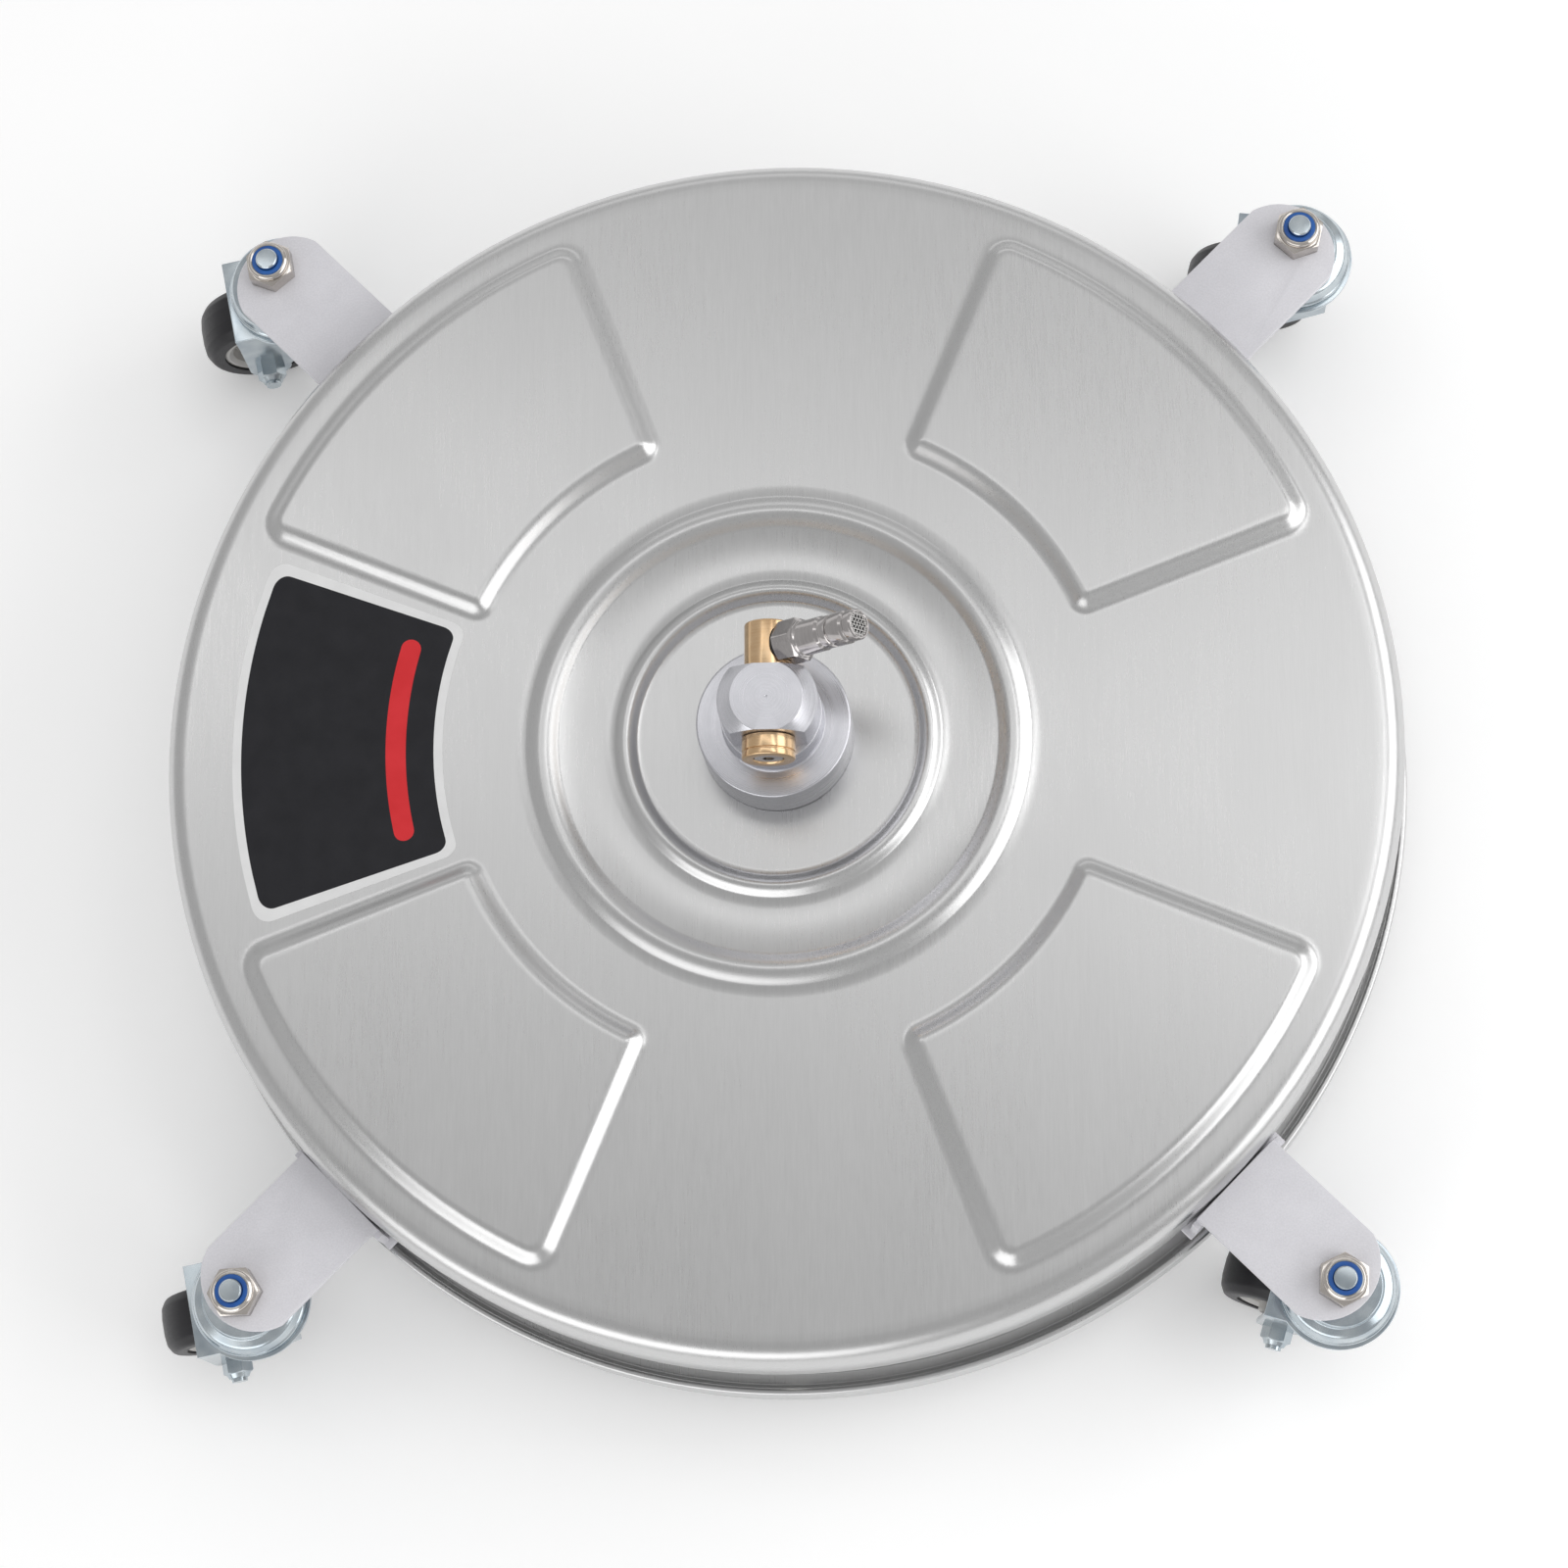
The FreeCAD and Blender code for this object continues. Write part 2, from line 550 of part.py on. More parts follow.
def fork():
    """Fork trailing towards +X, on the stem's axis."""
    low = FORK_TOP - FORK_PLATE
    half = FORK_WIDTH / 2
    disc = cylinder(FORK_FRONT_RADIUS, low, FORK_TOP)
    tail = Part.makeBox(FORK_REAR, FORK_WIDTH, FORK_PLATE, Vector(0, -half, low))
    shape = disc.fuse(tail)
    front = -math.sqrt(FORK_FRONT_RADIUS ** 2 - half ** 2)
    root = low + FORK_PLATE / 4
    outline = [Vector(front, 0, root), Vector(FORK_REAR, 0, root),
               Vector(FORK_REAR, 0, low - CHEEK_REAR),
               Vector(TRAIL + AXLE_END_RADIUS, 0, WHEEL_RADIUS),
               Vector(TRAIL, 0, WHEEL_RADIUS - AXLE_END_RADIUS),
               Vector(TRAIL - AXLE_END_RADIUS, 0, WHEEL_RADIUS),
               Vector(front, 0, low - CHEEK_FRONT)]
    bottom = Part.Arc(outline[3], outline[4], outline[5]).toShape()
    side_wire = Part.Wire([
        Part.makeLine(outline[0], outline[1]), Part.makeLine(outline[1], outline[2]),
        Part.makeLine(outline[2], outline[3]), bottom,
        Part.makeLine(outline[5], outline[6]), Part.makeLine(outline[6], outline[0])])
    for side in (-1, 1):
        plate = Part.Face(side_wire).extrude(Vector(0, FORK_PLATE, 0))
        start = half - FORK_PLATE if side > 0 else -half
        shape = shape.fuse(moved(plate, 0, start))
    shape = shape.removeSplitter()
    axle_hole = Part.makeCylinder(M6_RADIUS + SEAT, FORK_WIDTH + 10,
                                  Vector(TRAIL, -half - 5, WHEEL_RADIUS), Y)
    groove = Part.makeTorus(RACE_BALL_CIRCLE, RACE_BALL + RUNNING, Vector(0, 0, ball_height()))
    shape = shape.cut(axle_hole).cut(groove)
    return shape.cut(cylinder(STEM_RADIUS + RUNNING, low - 1, FORK_TOP + 1))


def lay_on_axle(shape):
    """Lay a shape built on the Z axis along +Y, with its origin on the wheel's axle.

    Every fork is turned by about half a turn later, so this side faces the front in the end."""
    copy = shape.copy()
    copy.rotate(Vector(0, 0, 0), Vector(1, 0, 0), -90)
    copy.translate(Vector(TRAIL, 0, WHEEL_RADIUS))
    return copy


def axle_bolt():
    """Axle bolt and its nut; the nut is on the side that +Z faces before it is laid down."""
    half = FORK_WIDTH / 2
    head = crowned(hexagon(M6_FLATS, -half - M6_HEAD, -half), M6_FLATS, -half, -half - M6_HEAD)
    bolt = head.fuse(cylinder(M6_RADIUS, -half, half + AXLE_END))
    nut = crowned(hexagon(M6_FLATS, half, half + M6_NUT), M6_FLATS, half + M6_NUT)
    collar = Part.makeCone(M6_FLATS / 2 - 0.4, M6_FLATS / 2 - 1.2, 1.6, Vector(0, 0, half + M6_NUT))
    nut = nut.fuse(collar).cut(cylinder(M6_RADIUS + SEAT, half - 1, half + M6_NUT + 3))
    return [lay_on_axle(bolt), lay_on_axle(nut)]


def axle_sleeve():
    inner = FORK_WIDTH / 2 - FORK_PLATE
    return lay_on_axle(tube(AXLE_SLEEVE_RADIUS, M6_RADIUS + SEAT, -inner, inner))


def wheel_hub():
    """Hub with a dished face on each side and a raised boss round the sleeve."""
    half = HUB_WIDTH / 2
    bore = AXLE_SLEEVE_RADIUS + RUNNING
    foot = HUB_RADIUS - 3.5
    crest = HUB_RADIUS - 2.5
    side = [(HUB_RADIUS, HUB_RIM), (crest, HUB_RIM), (foot, HUB_WEB), (HUB_BOSS_RADIUS, HUB_WEB),
            (HUB_BOSS_RADIUS, half), (bore, half)]
    return lay_on_axle(turned([(r, -z) for r, z in reversed(side)] + side))


def tyre():
    half = TYRE_WIDTH / 2
    inner = HUB_RADIUS + SEAT
    r = TYRE_ROUND
    s = r * (1 - math.sqrt(0.5))
    edges = [
        line((inner, -half), (WHEEL_RADIUS - r, -half)),
        arc((WHEEL_RADIUS - r, -half), (WHEEL_RADIUS - s, -half + s), (WHEEL_RADIUS, -half + r)),
        line((WHEEL_RADIUS, -half + r), (WHEEL_RADIUS, half - r)),
        arc((WHEEL_RADIUS, half - r), (WHEEL_RADIUS - s, half - s), (WHEEL_RADIUS - r, half)),
        line((WHEEL_RADIUS - r, half), (inner, half)),
        line((inner, half), (inner, -half)),
    ]
    return lay_on_axle(spun(edges))


# ---------------------------------------------------------------- swivel
def swivel_body():
    """Aluminium block: base on the deck, spigot through it, and the head that holds the inlet."""
    base_low = DECK_HEIGHT + GASKET
    base_top = DECK_HEIGHT + SWIVEL_BASE_HEIGHT
    shelf = PIVOT_HEIGHT - CAP_RADIUS - 0.9
    body = turned([
        (0, SPIGOT_BOTTOM), (SPIGOT_RADIUS, SPIGOT_BOTTOM), (SPIGOT_RADIUS, base_low),
        (SWIVEL_BASE_RADIUS, base_low), (SWIVEL_BASE_RADIUS, base_top - BASE_CHAMFER),
        (SWIVEL_BASE_RADIUS - BASE_CHAMFER, base_top), (COLLAR_RADIUS, base_top), (COLLAR_RADIUS, shelf),
        (HEAD_RADIUS, shelf), (HEAD_RADIUS, HEAD_TOP - HEAD_CHAMFER),
        (HEAD_RADIUS - HEAD_CHAMFER, HEAD_TOP), (0, HEAD_TOP)])
    for side in (-1, 1):
        low_y = FLAT_OFFSET if side > 0 else -FLAT_OFFSET - 10
        body = body.cut(Part.makeBox(60, 10, HEAD_TOP, Vector(-30, low_y, shelf)))
    bearing_top = UPPER_BEARING_BOTTOM + BEARING_WIDTH
    body = body.cut(cylinder(BEARING_OUTER + SEAT, SPIGOT_BOTTOM - 1, bearing_top))
    body = body.cut(cylinder(SEAL_RADIUS + SEAT, bearing_top - 1, bearing_top + SEAL_HEIGHT + 1))
    body = body.cut(cylinder(WATER_BORE, bearing_top, PIVOT_HEIGHT))
    body = body.cut(Part.makeCylinder(CROSS_SHAFT_RADIUS + RUNNING, 60, Vector(0, -30, PIVOT_HEIGHT), Y))
    body = body.cut(tube(BEARING_OUTER + CIRCLIP_GROOVE, BEARING_OUTER - 1, circlip_low(),
                         LOWER_BEARING_BOTTOM))
    for x, y in clamp_screw_places():
        body = body.cut(cylinder(M5_RADIUS + SEAT, base_low - 1, base_top - M5_HOLE_FLOOR, x, y))
    return body


def circlip_low():
    return LOWER_BEARING_BOTTOM - CIRCLIP_GROOVE


def deck_gasket():
    gasket = tube(SWIVEL_BASE_RADIUS - 0.5, SPIGOT_RADIUS + BOLT_CLEARANCE, DECK_HEIGHT,
                  DECK_HEIGHT + GASKET)
    for x, y in clamp_screw_places():
        gasket = gasket.cut(cylinder(M5_RADIUS + BOLT_CLEARANCE, DECK_HEIGHT - 1, DECK_HEIGHT + 2, x, y))
    return gasket


def clamp_plate():
    top = DECK_HEIGHT - SHEET
    plate = tube(CLAMP_PLATE_RADIUS, SPIGOT_RADIUS + BOLT_CLEARANCE, top - CLAMP_PLATE, top)
    for x, y in clamp_screw_places():
        plate = plate.cut(cylinder(M5_RADIUS + BOLT_CLEARANCE, top - CLAMP_PLATE - 1, top + 1, x, y))
    return plate


def clamp_screw():
    seat = DECK_HEIGHT - SHEET - CLAMP_PLATE
    screw = cylinder(M5_HEAD_RADIUS, seat - M5_HEAD, seat)
    end = DECK_HEIGHT + SWIVEL_BASE_HEIGHT - M5_HOLE_FLOOR - 2
    screw = screw.fuse(cylinder(M5_RADIUS, seat, end))
    return screw.cut(hexagon(M5_SOCKET, seat - M5_HEAD - 1, seat - M5_HEAD + M5_SOCKET_DEPTH))


def bearing_lows():
    return (LOWER_BEARING_BOTTOM, UPPER_BEARING_BOTTOM)


def ball_circle():
    return (BEARING_OUTER + BEARING_INNER) / 2


def bearing_groove(low):
    return Part.makeTorus(ball_circle(), BEARING_BALL + RUNNING, Vector(0, 0, low + BEARING_WIDTH / 2))


def bearing_outer_ring(low):
    ring = tube(BEARING_OUTER, ball_circle() + 1.4, low, low + BEARING_WIDTH)
    return ring.cut(bearing_groove(low))


def bearing_inner_ring(low):
    ring = tube(ball_circle() - 1.4, BEARING_INNER + SEAT, low, low + BEARING_WIDTH)
    return ring.cut(bearing_groove(low))


def bearing_ball_set(low):
    ball = Part.makeSphere(BEARING_BALL, Vector(0, 0, low + BEARING_WIDTH / 2))
    return circle_of(ball, ball_circle(), BEARING_BALLS)


def bearing_spacer():
    return tube(BEARING_OUTER, BEARING_OUTER - 2.5, LOWER_BEARING_BOTTOM + BEARING_WIDTH,
                UPPER_BEARING_BOTTOM)


def bearing_circlip():
    """Internal retaining ring with its gap at the front."""
    ring = tube(BEARING_OUTER + 1.2, BEARING_OUTER - 2.2, circlip_low() + 0.05, LOWER_BEARING_BOTTOM)
    gap = Part.makeBox(8, 30, 4, Vector(-4, -30, circlip_low() - 1))
    return ring.cut(gap)


def shaft_seal():
    low = UPPER_BEARING_BOTTOM + BEARING_WIDTH
    return tube(SEAL_RADIUS, neck_radius() + RUNNING, low, low + SEAL_HEIGHT)


def neck_radius():
    return BEARING_INNER - 1.5


# ---------------------------------------------------------------- spray rotor
def rotor_shaft():
    """Hollow stainless shaft: neck in the seal, two bearing seats, shoulder, and a threaded end."""
    bearing_top = UPPER_BEARING_BOTTOM + BEARING_WIDTH
    neck_top = bearing_top + SEAL_HEIGHT - 0.5
    shoulder = bearing_inner_shoulder()
    shaft = turned([
        (0, SHAFT_END), (STUD_RADIUS, SHAFT_END), (STUD_RADIUS, HUB_BOTTOM), (BEARING_INNER, HUB_BOTTOM),
        (BEARING_INNER, HUB_TOP), (shoulder, HUB_TOP), (shoulder, LOWER_BEARING_BOTTOM),
        (BEARING_INNER, LOWER_BEARING_BOTTOM), (BEARING_INNER, bearing_top),
        (neck_radius(), bearing_top), (neck_radius(), neck_top), (0, neck_top)])
    shaft = shaft.cut(cylinder(WATER_BORE, BAR_HEIGHT - TUBE_BORE, neck_top + 1))
    port = Part.makeCylinder(TUBE_BORE - 0.5, 2 * BEARING_INNER + 4,
                             Vector(-BEARING_INNER - 2, 0, BAR_HEIGHT), Vector(1, 0, 0))
    return shaft.cut(port)


def bearing_inner_shoulder():
    return ball_circle() - 1.8


def spray_hub():
    """Block that joins the shaft to the two arms, with a flat face for each arm's nut."""
    hub = cylinder(HUB_BODY_RADIUS, HUB_BOTTOM, HUB_TOP)
    face = HUB_BODY_FLAT
    hub = hub.common(Part.makeBox(2 * face, 60, 60, Vector(-face, -30, HUB_BOTTOM - 10)))
    hub = hub.cut(cylinder(BEARING_INNER + SEAT, HUB_BOTTOM - 1, HUB_TOP + 1))
    bore = Part.makeCylinder(TUBE_RADIUS + SEAT, 60, Vector(-30, 0, BAR_HEIGHT), Vector(1, 0, 0))
    return hub.cut(bore)


def hub_lock_nut():
    low = HUB_BOTTOM - LOCK_NUT
    nut = crowned(hexagon(LOCK_NUT_FLATS, low, HUB_BOTTOM), LOCK_NUT_FLATS, HUB_BOTTOM, low)
    return nut.cut(cylinder(STUD_RADIUS + SEAT, low - 1, HUB_BOTTOM + 1))


def lay_on_bar(shape):
    """Turn a shape built on the Z axis to point along +X at the bar's height."""
    copy = shape.copy()
    copy.rotate(Vector(0, 0, 0), Y, 90)
    copy.translate(Vector(0, 0, BAR_HEIGHT))
    return copy


def spray_tube():
    start = BEARING_INNER + 0.6
    arm = cylinder(TUBE_RADIUS, start, tube_end())
    arm = arm.cut(cylinder(TUBE_BORE, start - 1, BAR_REACH))
    # the inner end is scooped to clear the round shaft
    return lay_on_bar(arm).cut(cylinder(BEARING_INNER + 0.3, 0, DECK_HEIGHT))


def holder_start():
    return BAR_REACH - HOLDER_RADIUS - HOLDER_SLEEVE


def tube_end():
    return holder_start() + TUBE_INSERT


def tube_nut():
    low = HUB_BODY_FLAT
    high = low + TUBE_NUT_LENGTH
    nut = crowned(hexagon(TUBE_NUT_FLATS, low, high), TUBE_NUT_FLATS, high)
    return lay_on_bar(nut.cut(cylinder(TUBE_RADIUS + SEAT, low - 1, high + 1)))


def nozzle_holder():
    """Elbow at the arm's end, turning the water down into the nozzle."""
    end = BAR_REACH + HOLDER_RADIUS
    elbow = lay_on_bar(cylinder(HOLDER_RADIUS, holder_start(), BAR_REACH))
    post = cylinder(HOLDER_RADIUS, BAR_HEIGHT - HOLDER_DROP, BAR_HEIGHT, BAR_REACH)
    ball = Part.makeSphere(HOLDER_RADIUS, Vector(BAR_REACH, 0, BAR_HEIGHT))
    holder = elbow.fuse(post).fuse(ball).common(Part.makeBox(end, 60, 60, Vector(0, -30, BAR_HEIGHT - 30)))
    holder = holder.cut(lay_on_bar(cylinder(TUBE_RADIUS + SEAT, BAR_REACH - 20, tube_end())))
    holder = holder.cut(lay_on_bar(cylinder(TUBE_BORE - 0.5, BAR_REACH - 20, BAR_REACH)))
    holder = holder.cut(cylinder(WATER_BORE, BAR_HEIGHT - 20, BAR_HEIGHT, BAR_REACH))
    seat = BAR_HEIGHT - HOLDER_DROP
    return holder.cut(cylinder(NOZZLE_STUB_RADIUS + SEAT, seat - 1, seat + NOZZLE_STUB, BAR_REACH))


def spray_nozzle():
    """Fan nozzle: a stub in the holder, a hexagon and a slotted tip."""
    seat = BAR_HEIGHT - HOLDER_DROP
    top = seat + NOZZLE_STUB
    low = NOZZLE_TIP
    nose_top = low + NOZZLE_NOSE
    body = hexagon(NOZZLE_FLATS, nose_top, seat).fuse(cylinder(NOZZLE_STUB_RADIUS, seat, top))
    body = body.fuse(Part.makeCone(NOZZLE_STUB_RADIUS - 1.5, NOZZLE_STUB_RADIUS, NOZZLE_NOSE, Vector(0, 0, low)))
    body = body.cut(cylinder(2.0, low + 2.0, top + 1))
    body = body.cut(cylinder(0.6, low - 1, nose_top))
    slot = Part.makeBox(1.2, 20, 1.4, Vector(-0.6, -10, low))
    return moved(body.cut(slot), BAR_REACH, 0)


# ---------------------------------------------------------------- inlet
def along_y(shape, at):
    """Turn a shape built on the Z axis to point along +Y from a place on the pivot's axis."""
    copy = shape.copy()
    copy.rotate(Vector(0, 0, 0), Vector(1, 0, 0), -90)
    copy.translate(Vector(0, at, PIVOT_HEIGHT))
    return copy


def on_plug_line(shape):
    """Turn a shape built on the Z axis to point out along the plug's centre line."""
    copy = shape.copy()
    copy.rotate(Vector(0, 0, 0), Y, 90 - PLUG_ANGLE)
    copy.translate(Vector(0, PLUG_LINE, PIVOT_HEIGHT))
    return copy


def plug_seat():
    return INLET_HEAD_RADIUS - PLUG_SEAL


def shaft_stub():
    """How far the cross shaft's reduced end reaches along -Y."""
    return FLAT_OFFSET + FACE_GAP + CAP_LENGTH - CAP_RECESS


def oring_places():
    return (-ORING_PLACE, ORING_PLACE)


def inlet_shaft():
    """Brass: a round head beside the flat, and the shaft that turns in the head's cross bore."""
    face = FLAT_OFFSET + FACE_GAP
    brass = along_y(cylinder(INLET_HEAD_RADIUS, face, INLET_HEAD_END), 0)
    brass = brass.fuse(along_y(cylinder(CROSS_SHAFT_RADIUS, -face, face), 0))
    brass = brass.fuse(along_y(cylinder(STUB_RADIUS, -shaft_stub(), -face), 0))
    brass = brass.cut(along_y(tube(CROSS_SHAFT_RADIUS + 1, CROSS_SHAFT_RADIUS - 1.2, -3, 3), 0))
    for place in oring_places():
        brass = brass.cut(along_y(tube(CROSS_SHAFT_RADIUS + 1, CROSS_SHAFT_RADIUS - ORING_DEPTH,
                                       place - ORING_HALF - FACE_GAP, place + ORING_HALF + FACE_GAP), 0))
    brass = brass.cut(along_y(cylinder(WATER_BORE, -3, PLUG_LINE + 2), 0))
    brass = brass.cut(cylinder(1.8, PIVOT_HEIGHT - CROSS_SHAFT_RADIUS - 1, PIVOT_HEIGHT))
    brass = brass.cut(on_plug_line(cylinder(PLUG_THREAD_RADIUS + 0.1, 2.5, 20)))
    brass = brass.cut(on_plug_line(cylinder(PLUG_FLATS / 2 + 0.5, plug_seat(), 20)))
    return brass.cut(along_y(cylinder(M5_RADIUS, -shaft_stub() - 1, -shaft_stub() + 8), 0))


def cross_orings():
    return [along_y(tube(CROSS_SHAFT_RADIUS + RUNNING / 2, CROSS_SHAFT_RADIUS - ORING_DEPTH + SEAT,
                         place - ORING_HALF, place + ORING_HALF), 0) for place in oring_places()]


def inlet_end_cap():
    """Brass collar on the shaft's reduced end, grooved outside and recessed for the screw."""
    start = -FLAT_OFFSET - FACE_GAP
    end = start - CAP_LENGTH
    groove = start - CAP_GROOVE
    cap = along_y(cylinder(CAP_RADIUS, end, start), 0)
    cap = cap.cut(along_y(tube(CAP_RADIUS + 1, CAP_RADIUS - 0.5, groove - 0.4, groove + 0.4), 0))
    cap = cap.cut(along_y(cylinder(STUB_RADIUS + SEAT, -shaft_stub(), start + 1), 0))
    return cap.cut(along_y(cylinder(CAP_RECESS_RADIUS, end - 1, -shaft_stub()), 0))


def cap_screw():
    """Socket screw that holds the cap on the shaft's end."""
    seat = -shaft_stub()
    head = along_y(cylinder(CAP_RECESS_RADIUS - 0.3, seat - 2.2, seat), 0)
    shank = along_y(cylinder(M5_RADIUS - SEAT, seat, seat + 7), 0)
    socket = along_y(hexagon(M5_SOCKET, seat - 3, seat - 0.6), 0)
    return head.fuse(shank).cut(socket)


def inlet_plug():
    """Quick-connect plug: thread, hexagon, barrel, locking groove, collar and nose."""
    hex_low = INLET_HEAD_RADIUS
    hex_end = hex_low + PLUG_HEX
    collar_low = PLUG_REACH - 5.6
    plug = cylinder(PLUG_THREAD_RADIUS, 2.8, hex_low)
    plug = plug.fuse(crowned(hexagon(PLUG_FLATS, hex_low, hex_end), PLUG_FLATS, hex_end, hex_low))
    shoulder = PLUG_FLATS / 2 - 0.5
    profile = turned([
        (0, hex_end - 0.5), (shoulder, hex_end - 0.5), (shoulder, hex_end + 1.2),
        (PLUG_BARREL_RADIUS, hex_end + 1.8), (PLUG_BARREL_RADIUS, hex_end + 10.5),
        (PLUG_NECK_RADIUS, hex_end + 11.2), (PLUG_GROOVE_RADIUS, hex_end + 12.2),
        (PLUG_GROOVE_RADIUS, hex_end + 15.0), (PLUG_NECK_RADIUS, hex_end + 16.0),
        (PLUG_NECK_RADIUS, collar_low - 0.7), (PLUG_COLLAR_RADIUS, collar_low),
        (PLUG_COLLAR_RADIUS, PLUG_REACH - 1.0), (PLUG_COLLAR_RADIUS - 0.8, PLUG_REACH), (0, PLUG_REACH)])
    plug = plug.fuse(profile).removeSplitter()
    plug = plug.cut(cylinder(WATER_BORE, 0, PLUG_REACH - 4))
    plug = plug.cut(cylinder(PLUG_GROOVE_RADIUS, PLUG_REACH - PLUG_MOUTH, PLUG_REACH + 1))
    return on_plug_line(plug)


def plug_seal():
    inner = PLUG_THREAD_RADIUS + 0.1
    return on_plug_line(tube(inner + 1.3, inner, plug_seat(), plug_seat() + PLUG_SEAL))


def inlet_filter():
    """Perforated strainer disc just inside the plug's mouth."""
    low = PLUG_REACH - PLUG_MOUTH + 0.1
    radius = PLUG_GROOVE_RADIUS - 0.1
    disc = cylinder(radius, low, low + FILTER)
    for row in range(-2, 3):
        for column in range(-2, 3):
            x = FILTER_PITCH * (column + 0.5 * (row % 2))
            y = FILTER_PITCH * row * math.sqrt(0.75)
            if math.hypot(x, y) < radius - 1:
                disc = disc.cut(cylinder(FILTER_HOLE, low - 1, low + FILTER + 1, x, y))
    return on_plug_line(disc)


# ---------------------------------------------------------------- label
def deck_label():
    """Blank label: a ring sector stuck on the deck at the left, with rounded corners."""
    ring = tube(LABEL_OUTER, LABEL_INNER, DECK_HEIGHT, DECK_HEIGHT + LABEL_THICKNESS)
    reach = 2 * LABEL_OUTER
    x, y = polar(reach, LABEL_HALF_ANGLE)
    wedge = Part.makePolygon([Vector(0, 0, DECK_HEIGHT), Vector(x, -y, DECK_HEIGHT),
                              Vector(x, y, DECK_HEIGHT), Vector(0, 0, DECK_HEIGHT)])
    wedge = Part.Face(wedge).extrude(Vector(0, 0, LABEL_THICKNESS))
    return around(ring.common(wedge), 180)


# ---------------------------------------------------------------- build
def build():
    write("upper_housing", upper_housing())
    write("lower_ring", lower_ring())
    for name, azimuth in LEG_AZIMUTHS.items():
        write("leg_" + name, leg(azimuth))

    spacer = tube(SPACER_RADIUS, M6_RADIUS + SEAT, RING_TOP, SKIRT_BOTTOM)
    write("ring_spacers", [moved(spacer, x, y) for x, y in spacer_places()])
    lip_top = SKIRT_BOTTOM + SHEET
    long_bolt = hex_bolt(RING_TOP - SHEET, lip_top + M6_NUT + M6_END)
    write("ring_bolts", [moved(long_bolt, x, y) for x, y in spacer_places()])
    foot_bolt = hex_bolt(SKIRT_BOTTOM - LEG_PLATE, lip_top + M6_NUT + M6_END)
    write("foot_bolts", [moved(foot_bolt, x, y) for x, y in foot_bolt_places()])
    nut = hex_nut(lip_top)
    write("flange_nuts", [moved(nut, x, y) for x, y in spacer_places() + foot_bolt_places()])

    write("swivel_body", swivel_body())
    write("deck_gasket", deck_gasket())
    write("clamp_plate", clamp_plate())
    write("clamp_screws", circle_of(clamp_screw(), CLAMP_SCREW_CIRCLE, CLAMP_SCREWS))
    write("bearing_outer_rings", [bearing_outer_ring(low) for low in bearing_lows()])
    write("bearing_balls", [ball for low in bearing_lows() for ball in bearing_ball_set(low)])
    write("bearing_spacer", bearing_spacer())
    write("bearing_circlip", bearing_circlip())
    write("shaft_seal", shaft_seal())
    write("deck_label", deck_label())

    write("rotor_shaft", rotor_shaft())
    write("bearing_inner_rings", [bearing_inner_ring(low) for low in bearing_lows()])
    write("spray_hub", spray_hub())
    write("hub_lock_nut", hub_lock_nut())
    for side, turn in (("right", 0), ("left", 180)):
        write("spray_tube_" + side, around(spray_tube(), turn))
        write("nozzle_holder_" + side, around(nozzle_holder(), turn))
    write("tube_nuts", [around(tube_nut(), turn) for turn in (0, 180)])
    write("spray_nozzles", [around(spray_nozzle(), turn) for turn in (0, 180)])

    write("inlet_shaft", inlet_shaft())
    write("cross_orings", cross_orings())
    write("inlet_end_cap", inlet_end_cap())
    write("cap_screw", cap_screw())
    write("inlet_plug", inlet_plug())
    write("plug_seal", plug_seal())
    write("inlet_filter", inlet_filter())

    places = {name: caster_place(azimuth) for name, azimuth in LEG_AZIMUTHS.items()}
    write("caster_stems", [moved(stem(), *place) for place in places.values()])
    write("caster_lower_nuts", [moved(lower_nut(), *place) for place in places.values()])
    write("caster_nuts", [moved(caster_nut(), *place) for place in places.values()])
    write("nut_inserts", [moved(nut_insert(), *place) for place in places.values()])
    write("caster_top_races", [moved(top_race(), *place) for place in places.values()])
    write("race_balls", [moved(ball, *place) for place in places.values() for ball in race_balls()])
    for name, place in places.items():
        turn = CASTER_AZIMUTHS[name]

        def set_down(shape):
            return moved(around(shape, turn), *place)

        write("fork_" + name, set_down(fork()))
        write("axle_" + name, [set_down(shape) for shape in axle_bolt() + [axle_sleeve()]])
        write("wheel_hub_" + name, set_down(wheel_hub()))
        write("tyre_" + name, set_down(tyre()))


build()
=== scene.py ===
# %% [markdown]
# # A round surface cleaner
# A pressed stainless pan rides on four swivel casters.  Under it a spray bar spins; on top an
# aluminium swivel carries a brass elbow with a quick-connect plug.  This lesson dresses the
# engineering model: its nodes stay where they are, and the pieces that need soft pressed curves,
# rolled edges or turned steps are modelled again around the same sizes.
# %% The frame
import json
import math

import bpy
from mathutils import Matrix, Vector

